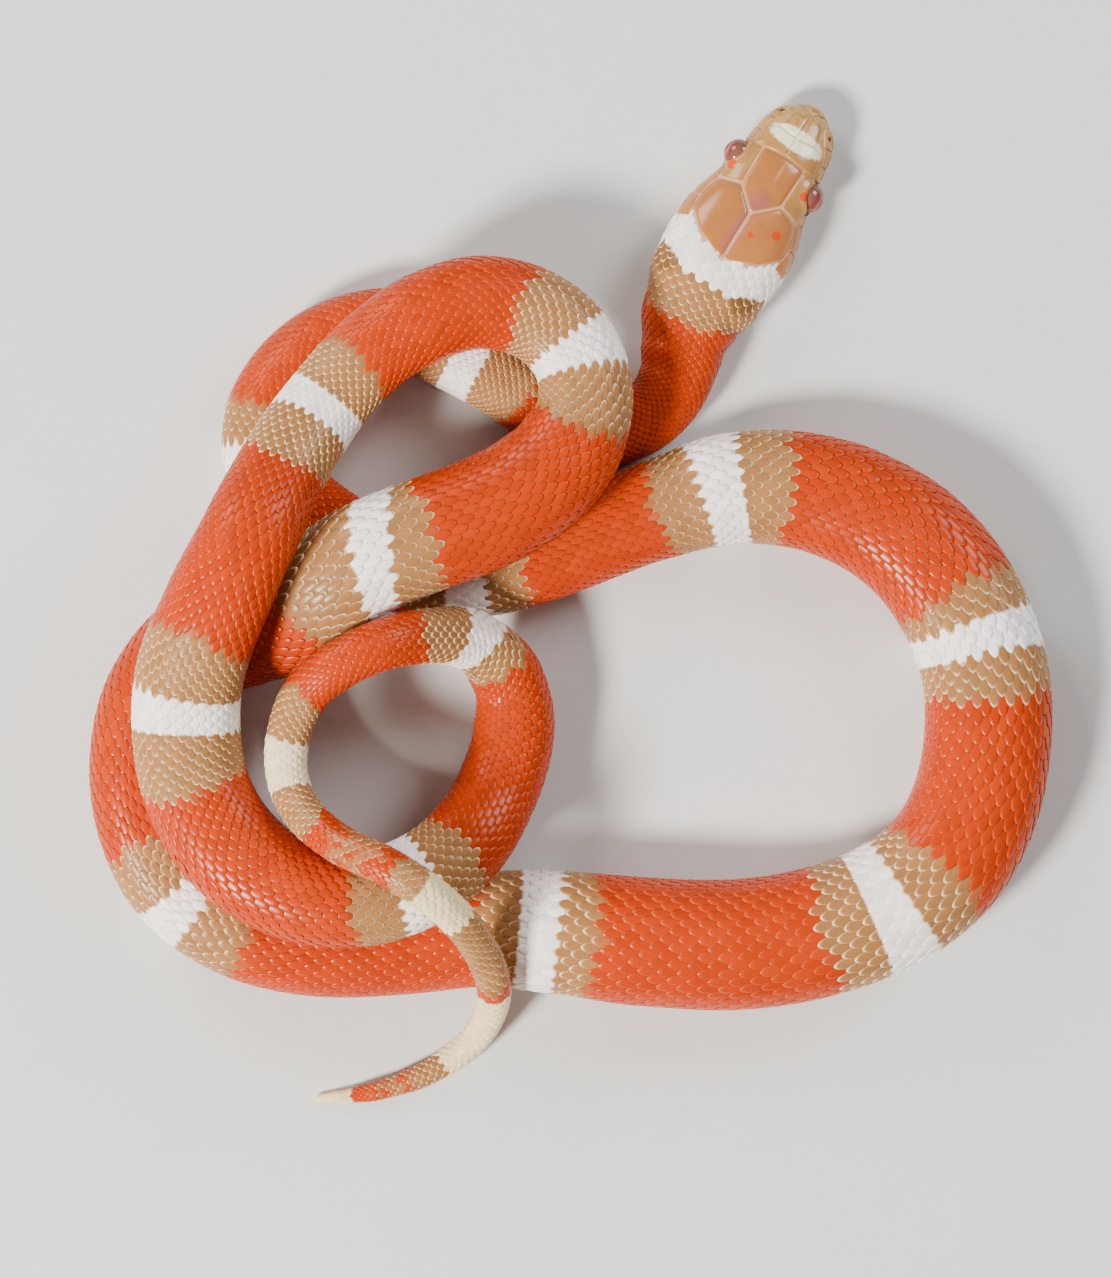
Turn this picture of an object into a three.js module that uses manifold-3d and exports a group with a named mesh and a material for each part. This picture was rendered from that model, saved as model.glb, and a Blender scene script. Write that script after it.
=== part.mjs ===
// A milk snake, life size, lying coiled on a flat floor.
//
// Frame: millimetres, +Z up, the floor is Z = 0 and the origin is under the
// middle of the animal. +X and +Y are right and up as one looks down on it.
//
// The centre line is one smooth route from the snout to the tip of the tail.
// Every length of the body is a loaf-shaped section swept along that route,
// with broad belly scutes stepped into its underside. The head is lofted the
// same way from its own outlines, and its plates are raised on it.

import * as THREE from "three";
import { mergeVertices } from "three/addons/utils/BufferGeometryUtils.js";
import Module from "manifold-3d";

const wasm = await Module();
wasm.setup();
const { Manifold, Mesh: SolidMesh } = wasm;

// Sizes of the whole
const GAP = 0.32; // clear space between neighbouring nodes
const VIEW = 400; // height of the eye that the route was judged from
const SIDES = 16; // corners of a body section
const TAIL_SIDES = 12;
const SCUTE_PITCH = 0.62; // length of a belly scute, in body widths
const SCUTE_SHORTEST = 3.4;
const SCUTE_STEP = 0.22; // how proud the rear edge of a scute stands
const SCUTE_EDGE = 0.25; // length of the step itself

// Sizes of the head, u is the distance behind the snout
const HEAD_LENGTH = 20.4;
const HEAD_HEADING = THREE.MathUtils.degToRad(32); // clockwise from +Y
const SNOUT = new THREE.Vector2(24.1, 48.9);
const EYE = { u: 7.8, side: 4.1, height: 3.75, radius: 1.5 };
const BROW = { u: 8.0, length: 2.0, reach: 0.45 };
const NOSTRIL = { u: 1.75, side: 2.85, height: 3.3, radius: 0.27, depth: 0.5 };
const MOUTH_END = 15.4; // the corner of the mouth
const PLATE_HEIGHT = 0.16;
const PLATE_SINK = 0.5;
const PLATE_SEAM = 0.14; // width of the groove between two plates

// The body from the back of the head, place by place: x, y as seen from
// above, then the height of the belly over the floor, then the width there.
const PLACES = [
  // the neck, flat on the floor
  [11.8, 28.5, 0, 10.2],
  [11.0, 25.3, 0, 8.5],
  [10.3, 22.3, 0, 7.6],
  [8.5, 19.5, 0, 7.2],
  [5.4, 17.6, 0, 7.3],
  [2.0, 17.0, 0, 7.4],
  [-1.3, 18.1, 0, 7.6],
  [-5.2, 21.2, 0, 7.8],
  [-11.9, 25.1, 0, 8.0],
  [-17.2, 27.4, 0, 8.2],
  [-22.2, 26.7, 0, 8.5],
  [-26.0, 24.7, 0, 8.7],
  [-28.7, 21.9, 0, 8.8],
  [-30.4, 18.5, 0, 8.9],
  [-30.5, 14.7, 0, 9.0],
  [-28.5, 10.6, 0, 9.1],
  [-24.4, 7.2, 0, 9.2],
  [-20.0, 4.5, 0, 9.3],
  [-14.2, 3.0, 0, 9.4],
  [-7.7, 3.5, 0, 9.6],
  [-1.2, 5.5, 0, 9.7],
  [5.8, 8.3, 0, 9.9],
  [10.0, 9.8, 0, 10.4],
  // the wide loop on the right
  [15.3, 11.3, 0, 11.3],
  [21.8, 11.4, 0, 11.8],
  [28.3, 9.6, 0, 12.2],
  [34.3, 5.8, 0, 12.6],
  [38.6, 0.3, 0, 12.8],
  [41.2, -6.5, 0, 12.8],
  [41.6, -13.2, 0, 12.8],
  [40.3, -20.2, 0, 12.9],
  [37.2, -25.9, 0, 13.0],
  [31.8, -30.2, 0, 13.2],
  [24.8, -32.9, 0, 13.2],
  [16.8, -34.2, 0, 13.2],
  [6.8, -33.9, 0, 13.0],
  [-2.2, -32.9, 0, 12.4],
  [-9.2, -32.7, 0, 11.6],
  [-17.2, -33.7, 0, 11.2],
  [-26.2, -33.9, 0, 11.0],
  [-33.7, -31.9, 0, 11.0],
  [-39.4, -27.7, 0, 10.8],
  [-42.4, -21.7, 0, 10.6],
  [-43.0, -15.2, 0, 10.6],
  [-41.4, -9.2, 0, 10.8],
  [-37.4, -4.5, 0, 11.2],
  // climbing over the first coil and turning back across the neck
  [-32.7, -2.7, 0.8, 11.6],
  [-28.4, -1.3, 3.8, 11.7],
  [-24.5, 1.7, 6.9, 11.7],
  [-20.8, 4.2, 7.8, 11.7],
  [-14.4, 6.8, 7.6, 11.7],
  [-9.2, 8.7, 7.2, 11.7],
  [-4.0, 11.6, 6.8, 11.5],
  [-0.6, 15.1, 6.6, 10.8],
  [1.3, 19.8, 6.5, 9.7],
  [0.4, 24.8, 5.9, 9.4],
  [-3.4, 28.6, 5.6, 9.4],
  [-9.2, 30.0, 6.2, 9.5],
  [-14.7, 28.5, 7.2, 9.3],
  [-19.7, 25.3, 7.4, 8.8],
  [-24.2, 20.5, 7.8, 8.7],
  [-28.5, 14.3, 10.2, 9.2],
  [-32.3, 6.8, 13.4, 10.0],
  [-35.9, -0.7, 12.0, 10.6],
  [-38.3, -7.2, 9.5, 11.0],
  [-38.6, -13.7, 8.2, 11.0],
  [-37.2, -19.9, 7.7, 10.9],
  [-33.4, -25.4, 7.8, 10.8],
  [-28.0, -28.8, 8.4, 10.3],
  [-22.0, -29.7, 8.7, 10.0],
  [-16.0, -28.2, 8.4, 9.7],
  [-10.9, -24.2, 6.4, 9.1],
  [-7.5, -18.7, 3.0, 8.6],
  [-5.8, -12.7, 1.6, 8.3],
  [-6.4, -7.7, 2.4, 7.4],
  // the tail, up over the coils and down again on the near side
  [-9.8, -3.9, 5.4, 6.4],
  [-14.3, -3.4, 9.8, 5.8],
  [-19.0, -4.3, 13.0, 5.4],
  [-23.1, -6.2, 13.2, 5.2],
  [-26.7, -9.2, 11.8, 5.0],
  [-28.5, -13.7, 11.2, 4.6],
  [-28.5, -17.7, 11.7, 4.4],
  [-26.9, -21.2, 13.1, 4.3],
  [-23.5, -24.2, 15.1, 4.2],
  [-18.7, -26.5, 16.8, 4.2],
  [-14.7, -29.0, 16.8, 4.1],
  [-11.4, -31.9, 14.6, 4.0],
  [-9.0, -35.2, 11.0, 3.9],
  [-7.9, -38.2, 8.6, 3.7],
  [-8.5, -41.7, 3.2, 3.4],
  [-10.9, -44.7, 0.3, 3.1],
  [-14.7, -47.1, 0, 2.7],
  [-19.2, -48.7, 0, 2.2],
  [-23.2, -49.4, 0, 1.5],
  [-25.7, -49.6, 0, 0.8],
];


// Where one length of the body ends and the next begins, by the distance
// from the back of the head.
const LENGTHS = [
  ["neck", 0.3, 21],
  ["body_01", 21, 44],
  ["body_02", 44, 62],
  ["body_03", 62, 88],
  ["body_04", 88, 112],
  ["body_05", 112, 140],
  ["body_06", 140, 170],
  ["body_07", 170, 200],
  ["body_08", 200, 232],
  ["body_09", 232, 260],
  ["body_10", 260, 286],
  ["body_11", 286, 312],
  ["body_12", 312, 332],
  ["body_13", 332, 354],
  ["body_14", 354, 380],
  ["body_15", 380, 405],
  ["body_16", 405, 430],
  ["body_17", 430, 452],
  ["tail_01", 452, 470],
  ["tail_02", 470, 490],
  ["tail_03", 490, 511],
  ["tail_04", 511, 530],
  ["tail_05", 530, 600],
];

// Colours of the solids
const RED = new THREE.MeshStandardMaterial({ color: 0xf0501a, roughness: 0.35, metalness: 0 });
const TAN = new THREE.MeshStandardMaterial({ color: 0xd9a273, roughness: 0.35, metalness: 0 });
const WINE = new THREE.MeshStandardMaterial({ color: 0x8c2a2c, roughness: 0.08, metalness: 0 });

// A value that follows the pairs [place, value] smoothly
function follow(pairs, at) {
  let i = 0;
  while (i < pairs.length - 2 && at > pairs[i + 1][0]) i += 1;
  const [a, from] = pairs[i];
  const [b, to] = pairs[i + 1];
  const slope = (k) => {
    const lo = pairs[Math.max(k - 1, 0)];
    const hi = pairs[Math.min(k + 1, pairs.length - 1)];
    return (hi[1] - lo[1]) / (hi[0] - lo[0]);
  };
  const t = THREE.MathUtils.clamp((at - a) / (b - a), 0, 1);
  const width = b - a;
  const t2 = t * t;
  const t3 = t2 * t;
  return (
    (2 * t3 - 3 * t2 + 1) * from +
    (t3 - 2 * t2 + t) * slope(i) * width +
    (3 * t2 - 2 * t3) * to +
    (t3 - t2) * slope(i + 1) * width
  );
}

// The outline of a section: broad shoulders, a rounded back and a flat belly.
// The angle runs from the right side over the back, and the result is the
// share of the half width and the share of the height over or under the
// widest level.
function outline(angle, belly = 0.6) {
  const c = Math.cos(angle);
  const s = Math.sin(angle);
  if (s >= 0) return [Math.sign(c) * Math.abs(c) ** 0.86, s ** 0.95];
  const down = Math.min(1, Math.abs(s) / 0.93) ** belly;
  return [Math.sign(c) * Math.abs(c) ** 0.82, -down];
}

// The head in its own frame: u back from the snout, v to its right, z up
const HALF_WIDTH = [
  [0, 0.9], [0.3, 1.75], [0.9, 2.6], [1.8, 3.3], [3.2, 3.85], [5.5, 4.2], [7.7, 4.45],
  [9.6, 4.85], [11, 5.3], [12.5, 5.8], [14.6, 6.2], [17, 6.4], [18.7, 6.3], [HEAD_LENGTH, 6.1],
];
const CROWN = [
  [0, 3.0], [0.3, 3.45], [0.9, 3.95], [1.8, 4.4], [3.2, 4.9], [5.5, 5.6], [7.7, 6.15],
  [9.6, 6.5], [12.5, 7.0], [15, 7.35], [18, 7.6], [HEAD_LENGTH, 7.7],
];
const CHIN = [
  [0, 1.5], [0.3, 1.05], [0.9, 0.6], [1.8, 0.25], [3.2, 0.06], [4.6, 0], [8, 0], [HEAD_LENGTH, 0],
];
const WIDEST = [
  [0, 2.2], [1.8, 2.35], [5.5, 2.6], [10, 2.9], [15, 3.25], [HEAD_LENGTH, 3.5],
];

function headPoint(u, angle, grow = 0) {
  let half = follow(HALF_WIDTH, u) + grow;
  const widest = follow(WIDEST, u);
  const crown = follow(CROWN, u) + grow;
  const chin = Math.max(0, follow(CHIN, u)) - grow;
  const belly = THREE.MathUtils.lerp(0.85, 0.6, THREE.MathUtils.smoothstep(u, 0, 6));
  const [across, up] = outline(angle, belly);
  if (up > 0.3 && up < 0.98) {
    const over = Math.sin((Math.PI * (up - 0.3)) / 0.68);
    half += BROW.reach * over * Math.exp(-(((u - BROW.u) / BROW.length) ** 2));
  }
  const z = up >= 0 ? widest + up * (crown - widest) : widest + up * (widest - chin);
  return new THREE.Vector3(u, -across * half, z);
}

// A closed skin over rings of corners, with a flat end before and behind
function loft(sides, rings, place) {
  const skin = new THREE.CylinderGeometry(1, 1, 1, sides, rings - 1);
  const at = skin.getAttribute("position");
  const point = new THREE.Vector3();
  for (let i = 0; i < at.count; i += 1) {
    point.fromBufferAttribute(at, i);
    const ring = Math.round((0.5 - point.y) * (rings - 1));
    const centre = Math.hypot(point.x, point.z) < 0.5;
    const angle = Math.atan2(point.z, point.x);
    const moved = place(ring, angle, centre);
    at.setXYZ(i, moved.x, moved.y, moved.z);
  }
  skin.deleteAttribute("normal");
  skin.deleteAttribute("uv");
  return skin;
}

// Solids and meshes
function toSolid(geometry) {
  const merged = mergeVertices(geometry, 1e-4);
  const solid = new Manifold(
    new SolidMesh({
      numProp: 3,
      vertProperties: Float32Array.from(merged.getAttribute("position").array),
      triVerts: Uint32Array.from(merged.index.array),
    }),
  );
  return solid;
}

function toGeometry(solid) {
  const mesh = solid.getMesh();
  const geometry = new THREE.BufferGeometry();
  const corners = new Float32Array(mesh.numVert * 3);
  for (let i = 0; i < mesh.numVert; i += 1) {
    for (let k = 0; k < 3; k += 1) corners[3 * i + k] = mesh.vertProperties[mesh.numProp * i + k];
  }
  geometry.setAttribute("position", new THREE.BufferAttribute(corners, 3));
  geometry.setIndex(new THREE.BufferAttribute(Uint32Array.from(mesh.triVerts), 1));
  return geometry;
}

// Booleans leave slivers finer than the shape needs
function tidy(solid) {
  return solid.simplify(0.02);
}

// The corners of a section start half a step off the level, so that two of
// them bound the flat of the belly.
const turned = (angle, sides) => angle + Math.PI / sides;

// The head with its plates, nostrils, sockets and jaw
function headSkin(grow, from, to) {
  const places = [];
  const count = 24;
  for (let i = 0; i <= count; i += 1) {
    const t = i / count;
    places.push(from + (to - from) * (0.35 * t + 0.65 * t * t));
  }
  const sides = 24;
  return toSolid(
    loft(sides, places.length, (ring, angle, centre) => {
      const u = places[ring];
      if (centre) return new THREE.Vector3(u, 0, follow(WIDEST, u));
      return headPoint(u, turned(-angle, sides), grow);
    }),
  );
}

// Outlines of the plates on top of the head, u and v, for the right side
const FRONTAL = [[5.75, 0], [6.0, 2.4], [10.4, 2.3], [12.6, 0], [10.4, -2.3], [6.0, -2.4]];
const TOP_PLATES = [
  [[12.6, 0], [10.4, 2.3], [10.9, 4.5], [12.4, 5.2], [14.8, 5.3], [16.6, 3.4], [17.9, 0.3], [17.9, 0]],
  [[6.0, 2.4], [6.3, 3.9], [8.0, 4.75], [9.9, 4.8], [10.9, 4.5], [10.4, 2.3]],
  [[3.6, 0], [3.4, 2.1], [3.9, 3.9], [6.3, 3.9], [6.0, 2.4], [5.75, 0]],
  [[1.5, 0], [1.6, 2.0], [3.4, 2.1], [3.6, 0]],
];
// Plates on the side of the head, by u and z
const SIDE_PLATES = [
  [[2.7, 3.1], [2.8, 4.2], [4.5, 4.5], [4.6, 3.2]],
  [[4.6, 3.2], [4.5, 4.6], [5.9, 5.0], [5.9, 3.2]],
  [[9.4, 4.1], [9.5, 5.6], [10.9, 5.6], [10.7, 4.1]],
  [[9.4, 2.8], [9.4, 4.1], [10.7, 4.1], [11.0, 3.2]],
  [[10.7, 4.1], [10.9, 5.9], [13.4, 5.9], [13.6, 4.0], [11.0, 3.2]],
  [[13.6, 4.0], [13.4, 5.9], [16.0, 5.9], [16.2, 4.2], [14.9, 3.6]],
];
const LABIALS = [1.3, 2.8, 4.4, 6.1, 8.3, 10.7, 13.2, MOUTH_END];
const MOUTH = [
  [-1, 1.75], [0, 1.6], [1.2, 1.35], [3, 1.45], [7, 1.75], [11, 2.05], [13.5, 2.4], [MOUTH_END, 2.85],
];

function prism(corners, deep, turn) {
  const shape = new THREE.Shape(corners.map(([a, b]) => new THREE.Vector2(a, b)));
  const block = new THREE.ExtrudeGeometry(shape, { depth: deep, bevelEnabled: false });
  block.deleteAttribute("normal");
  block.deleteAttribute("uv");
  block.applyMatrix4(turn);
  let solid = toSolid(block);
  return solid;
}

// Corners drawn in by half a seam, and put in the turning order of a shape
function drawnIn(corners) {
  const area = corners.reduce((sum, [a, b], i) => {
    const [c, d] = corners[(i + 1) % corners.length];
    return sum + a * d - c * b;
  }, 0);
  const list = area > 0 ? corners : [...corners].reverse();
  const count = list.length;
  return list.map((corner, i) => {
    const before = new THREE.Vector2(...list[(i + count - 1) % count]);
    const here = new THREE.Vector2(...corner);
    const after = new THREE.Vector2(...list[(i + 1) % count]);
    const a = here.clone().sub(before).normalize();
    const b = after.clone().sub(here).normalize();
    const inward = new THREE.Vector2(-(a.y + b.y), a.x + b.x);
    const reach = PLATE_SEAM / 2 / Math.max(0.5, inward.length() / 2);
    return here.add(inward.normalize().multiplyScalar(reach)).toArray();
  });
}

function upright(corners) {
  const turn = new THREE.Matrix4().makeTranslation(0, 0, 3.2);
  return prism(drawnIn(corners), 9, turn);
}

function sideways(corners, side) {
  const turn = new THREE.Matrix4().makeRotationX(Math.PI / 2);
  turn.premultiply(new THREE.Matrix4().makeTranslation(0, side > 0 ? 10 : -2.2, 0));
  return prism(drawnIn(corners), 7.8, turn);
}

function mirrored(corners) {
  return corners.map(([u, v]) => [u, -v]);
}

function mouthBlade() {
  const half = GAP / 2;
  const line = [...MOUTH, [16.6, 1.9], [18.4, -1]];
  const upper = line.map(([u, z], i) => [u + (i >= MOUTH.length ? half : 0), z + half]);
  const lower = line.map(([u, z], i) => [u - (i >= MOUTH.length ? half : 0), z - half]);
  const turn = new THREE.Matrix4().makeRotationX(Math.PI / 2);
  turn.premultiply(new THREE.Matrix4().makeTranslation(0, 10, 0));
  return prism([...lower, ...upper.reverse()], 20, turn);
}

function ball(radius, side, columns, rows) {
  const sphere = new THREE.SphereGeometry(radius, columns, rows);
  sphere.deleteAttribute("normal");
  sphere.deleteAttribute("uv");
  sphere.rotateX(Math.PI / 2);
  sphere.translate(EYE.u, side * EYE.side, EYE.height);
  return sphere;
}

function buildHead() {
  const plain = headSkin(0, 0, HEAD_LENGTH - GAP / 2);
  const raised = headSkin(PLATE_HEIGHT, 0.1, HEAD_LENGTH - 1);
  let plates = [upright(FRONTAL)];
  for (const corners of TOP_PLATES) plates.push(upright(corners), upright(mirrored(corners)));
  for (const side of [1, -1]) {
    for (const corners of SIDE_PLATES) plates.push(sideways(corners, side));
    for (let i = 0; i + 1 < LABIALS.length; i += 1) {
      const [a, b] = [LABIALS[i], LABIALS[i + 1]];
      const tall = Math.abs((a + b) / 2 - EYE.u) < 1.8 ? 1.0 : 1.5;
      const [low, high] = [follow(MOUTH, a), follow(MOUTH, b)];
      plates.push(sideways([[a, low], [a, low + tall], [b, high + tall], [b, high]], side));
      plates.push(sideways([[a, low - 1.1], [a, low], [b, high], [b, high - 1.1]], side));
    }
  }
  plates = Manifold.union(plates).intersect(raised);
  let head = plain.add(plates);
  const cuts = [mouthBlade()];
  for (const side of [1, -1]) {
    cuts.push(toSolid(ball(EYE.radius + GAP, side, 20, 12)));
    const pit = new THREE.CylinderGeometry(NOSTRIL.radius, NOSTRIL.radius * 0.7, 2 * NOSTRIL.depth, 8);
    pit.deleteAttribute("normal");
    pit.deleteAttribute("uv");
    if (side < 0) pit.rotateX(Math.PI);
    pit.translate(NOSTRIL.u, side * (NOSTRIL.side + 0.25), NOSTRIL.height);
    cuts.push(toSolid(pit));
  }
  head = head.subtract(Manifold.union(cuts));
  const [upper, lower] = head.decompose().sort((a, b) => b.volume() - a.volume());
  return { upper: tidy(upper), lower: tidy(lower) };
}

// From the frame of the head to the frame of the animal
function headMatrix() {
  const ahead = new THREE.Vector3(Math.sin(HEAD_HEADING), Math.cos(HEAD_HEADING), 0);
  const back = ahead.clone().negate();
  const right = new THREE.Vector3(ahead.y, -ahead.x, 0);
  const turn = new THREE.Matrix4().makeBasis(back, right, new THREE.Vector3(0, 0, 1));
  return turn.setPosition(SNOUT.x, SNOUT.y, 0);
}

// The route of the body
const LEVEL = 0.46; // the widest level, as a share of the height
const BODY_TALL = 0.79; // height of a section, as a share of its width
const TAIL_TALL = 0.88;
const NAPE_TALL = 0.63;
const CHORD = 3.6; // stretch over which a section's direction is taken
const NECK_TURN = 6; // the neck has turned from the head's axis by here

const matrix = headMatrix();
const knots = [8, 14.5, HEAD_LENGTH].map((u) => {
  const p = new THREE.Vector3(u, 0, 3.5).applyMatrix4(matrix);
  return { point: p, width: 12.2, lift: 0 };
});
const napeIndex = knots.length - 1;
for (const [x, y, lift, width] of PLACES) {
  const level = lift + width * BODY_TALL * LEVEL;
  const nearer = 1 - level / VIEW;
  knots.push({ point: new THREE.Vector3(x * nearer, y * nearer, level), width: width * nearer, lift });
}
const route = new THREE.CatmullRomCurve3(knots.map((k) => k.point), false, "centripetal");

// Distances along the route, from the back of the head
const FINE = 24;
const marks = [];
{
  const spans = knots.length - 1;
  let total = 0;
  let last = route.getPoint(0);
  for (let i = 0; i <= spans * FINE; i += 1) {
    const here = route.getPoint(i / (spans * FINE));
    total += here.distanceTo(last);
    marks.push(total);
    last = here;
  }
  const nape = marks[napeIndex * FINE];
  for (let i = 0; i < marks.length; i += 1) marks[i] -= nape;
}
const BODY_LENGTH = marks[marks.length - 1];

function spanAt(s) {
  let lo = 0;
  let hi = marks.length - 1;
  while (hi - lo > 1) {
    const mid = (lo + hi) >> 1;
    if (marks[mid] <= s) lo = mid;
    else hi = mid;
  }
  return (lo + (s - marks[lo]) / (marks[hi] - marks[lo])) / FINE;
}

function pointAt(s) {
  return route.getPoint(THREE.MathUtils.clamp(spanAt(s) / (knots.length - 1), 0, 1));
}

// Sections turn with the chord over a short stretch, so that they don't cross
// in a tight bend, and start square to the head.
function directionAt(s) {
  const chord = pointAt(s + CHORD / 2).sub(pointAt(s - CHORD / 2)).normalize();
  const headBack = new THREE.Vector3(-Math.sin(HEAD_HEADING), -Math.cos(HEAD_HEADING), 0);
  return headBack.lerp(chord, THREE.MathUtils.smoothstep(s, 0, NECK_TURN)).normalize();
}

function sectionAt(s) {
  const span = THREE.MathUtils.clamp(spanAt(s), 0, knots.length - 1);
  const t = span / (knots.length - 1);
  const i = Math.min(Math.floor(span), knots.length - 2);
  const part = span - i;
  const mix = part * part * (3 - 2 * part);
  const width = THREE.MathUtils.lerp(knots[i].width, knots[i + 1].width, mix);
  let tall = THREE.MathUtils.lerp(NAPE_TALL, BODY_TALL, THREE.MathUtils.smoothstep(s, 0, 9));
  tall = THREE.MathUtils.lerp(tall, TAIL_TALL, THREE.MathUtils.smoothstep(s, 430, 460));
  const along = directionAt(s);
  const resting = knots[i].lift < 0.01 && knots[i + 1].lift < 0.01;
  if (resting) along.setZ(0).normalize();
  const right = new THREE.Vector3(along.y, -along.x, 0).normalize();
  const up = new THREE.Vector3().crossVectors(right, along).normalize();
  const centre = route.getPoint(t);
  if (resting) centre.z = width * tall * LEVEL;
  return { centre, right, up, along, width, height: width * tall };
}

// Half the gap at a cut, wider where a bend would close it on its inner side
function halfGap(s) {
  const before = sectionAt(Math.max(s - 1, 0));
  const after = sectionAt(s + 1);
  const bend = before.along.angleTo(after.along) / 2;
  return GAP / 2 / Math.max(0.4, 1 - (bend * after.width) / 2);
}

// One length of the body, with a step at the rear edge of every belly scute
function buildLength(from, to) {
  const start = from + halfGap(from);
  const end = to < BODY_LENGTH ? to - halfGap(to) : BODY_LENGTH - 0.02;
  const middle = sectionAt((start + end) / 2).width;
  const pitch = Math.max(SCUTE_SHORTEST, SCUTE_PITCH * middle);
  const scutes = Math.max(2, Math.round((end - start) / pitch));
  const rings = [];
  for (let i = 0; i < scutes; i += 1) {
    const a = start + ((end - start) * i) / scutes;
    const b = start + ((end - start) * (i + 1)) / scutes;
    rings.push({ s: a, inset: SCUTE_STEP });
    rings.push({ s: a + 0.42 * (b - a), inset: 0 });
    rings.push({ s: i === scutes - 1 ? b : b - SCUTE_EDGE, inset: 0 });
  }
  const sides = from > 455 ? TAIL_SIDES : SIDES;
  return loft(sides, rings.length, (ring, angle, centre) => {
    const { s, inset } = rings[ring];
    const section = sectionAt(s);
    if (centre) return section.centre.clone();
    const [across, up] = outline(turned(-angle, sides));
    const share = up >= 0 ? 1 - LEVEL : LEVEL;
    const belly = THREE.MathUtils.smoothstep(-up, 0.3, 0.75);
    const slim = Math.min(1, section.width / 6);
    const point = section.centre.clone();
    point.addScaledVector(section.right, (across * section.width) / 2);
    point.addScaledVector(section.up, up * share * section.height + belly * inset * slim);
    if (point.z < 0.08) point.z = 0;
    return point;
  });
}

// The whole animal
const snake = new THREE.Group();

function add(name, geometry, material) {
  const mesh = new THREE.Mesh(geometry, material);
  mesh.name = name;
  snake.add(mesh);
}

const { upper, lower } = buildHead();
add("head", toGeometry(upper).applyMatrix4(matrix), TAN);
add("lower_jaw", toGeometry(lower).applyMatrix4(matrix), TAN);
add("eye_left", ball(EYE.radius, -1, 16, 10).applyMatrix4(matrix), WINE);
add("eye_right", ball(EYE.radius, 1, 16, 10).applyMatrix4(matrix), WINE);
for (const [name, from, to] of LENGTHS) add(name, buildLength(from, to), RED);

export default snake;
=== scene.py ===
import math

import bpy
import numpy as np
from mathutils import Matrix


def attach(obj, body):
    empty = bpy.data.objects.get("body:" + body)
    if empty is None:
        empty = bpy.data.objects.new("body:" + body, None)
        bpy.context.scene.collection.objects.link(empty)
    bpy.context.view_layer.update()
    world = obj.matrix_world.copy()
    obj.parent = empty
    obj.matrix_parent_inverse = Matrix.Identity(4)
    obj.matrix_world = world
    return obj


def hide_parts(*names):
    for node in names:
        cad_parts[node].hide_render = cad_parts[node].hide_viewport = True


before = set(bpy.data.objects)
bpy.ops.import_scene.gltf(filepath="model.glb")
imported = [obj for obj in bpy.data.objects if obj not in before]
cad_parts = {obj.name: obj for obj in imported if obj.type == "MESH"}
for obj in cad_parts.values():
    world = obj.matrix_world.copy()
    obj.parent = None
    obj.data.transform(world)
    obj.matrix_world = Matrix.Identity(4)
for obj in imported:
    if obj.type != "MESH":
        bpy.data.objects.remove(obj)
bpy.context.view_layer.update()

# Sizes in millimetres, as in the solids
MM = 0.001
HEAD_LENGTH = 20.4
HEAD_HEADING = math.radians(32)  # clockwise from +Y
AHEAD = np.array([math.sin(HEAD_HEADING), math.cos(HEAD_HEADING)])
SNOUT = np.array([24.1, 48.9])
EYE_U, EYE_SIDE, EYE_UP, EYE_R = 7.8, 4.1, 3.75, 1.5
EYE_RINGS, EYE_AROUND, EYE_SLACK = 31, 64, 0.02
BROW_U, BROW_LONG, BROW_REACH = 8.0, 2.0, 0.45
MOUTH_END, LIP_WIDE, LIP_DEPTH = 15.4, 0.13, 0.2
NOSTRIL_U, NOSTRIL_UP, NOSTRIL_R = 1.75, 3.3, 0.3
NOSTRIL_DEPTH, PLATE_PIT_DEPTH = 0.45, 0.55  # in the skin, and in the plates over it
SNOUT_BULGE = 0.3

# Sections: heights are shares of the width, and reaches are from the head's end
LEVEL = 0.46  # widest level, as a share of the height
NAPE_TALL, BODY_TALL, TAIL_TALL = 0.63, 0.79, 0.88
NAPE_REACH, TAIL_REACH = (0, 9), (430, 460)  # where one height turns into the next
SHOULDER, UNDERSIDE, CREST = 0.86, 0.82, 0.95  # powers of the outline
CHIN_POWER, BELLY_POWER, BELLY_CUT = 0.85, 0.6, 0.93
FLAT, ROUND = 0.08, -9.0  # what is lower lies on the floor, and a level with nothing under it

# The route, whose first knots are in the head
VIEW = 400.0  # height of the eye over the floor
SAMPLES = 24  # in a span between two knots
HEAD_KNOTS, HEAD_LEVEL, HEAD_WIDE = (8, 14.5, HEAD_LENGTH), 3.5, 12.2
CHORD, NECK_TURN = 3.6, 6.0  # a section's direction, and the turn behind the head

# The skin lies inside the solids, deeper under the scales than under the head plates
SKIN_DEPTH, HEAD_DEPTH = 0.24, 0.10
SKIN_AROUND, HEAD_RINGS, RING_STEP = 96, 300, 0.8
STRIPS = 4  # lengths of skin on the map
PATCH, PATCH_STEP = 0.003, 0.0035  # a scale on the map, and its underside beside it

# The scales
BODY_ROWS = 31  # rows round the back, and where pairs of rows end
ROW_DROPS = ((425, (7, 8)), (455, (11, 12)), (475, (5, 6)), (500, (13, 14)), (535, (3, 4)))
NAPE_PITCH, PITCH, TAIL_PITCH = 1.45, 2.25, 1.7  # a scale's step along the body, in row widths
SCALE_LONG, SCALE_WIDE = 1.28, 0.80  # of the step and of two row widths
SCALE_GRID = np.array([-1, -0.9, -0.46, 0, 0.46, 0.9, 1])
SCALE_SLIM = 0.22  # how much narrower it is at its rear
SCALE_RISE, SCALE_CROWN, SCALE_DROOP = 0.075, 0.06, 0.03  # the shape of its top
SCALE_BASE, SCALE_SINK = 0.08, 0.07  # its middle over the skin, and its edge under that
PER_PIECE = 2000  # scales in one mesh
BELLY_EDGE = math.radians(-46)  # where the belly scutes begin, under the side
BELLY_SIDE = 1.3  # stands for the belly where sides are shares of the girth
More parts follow.
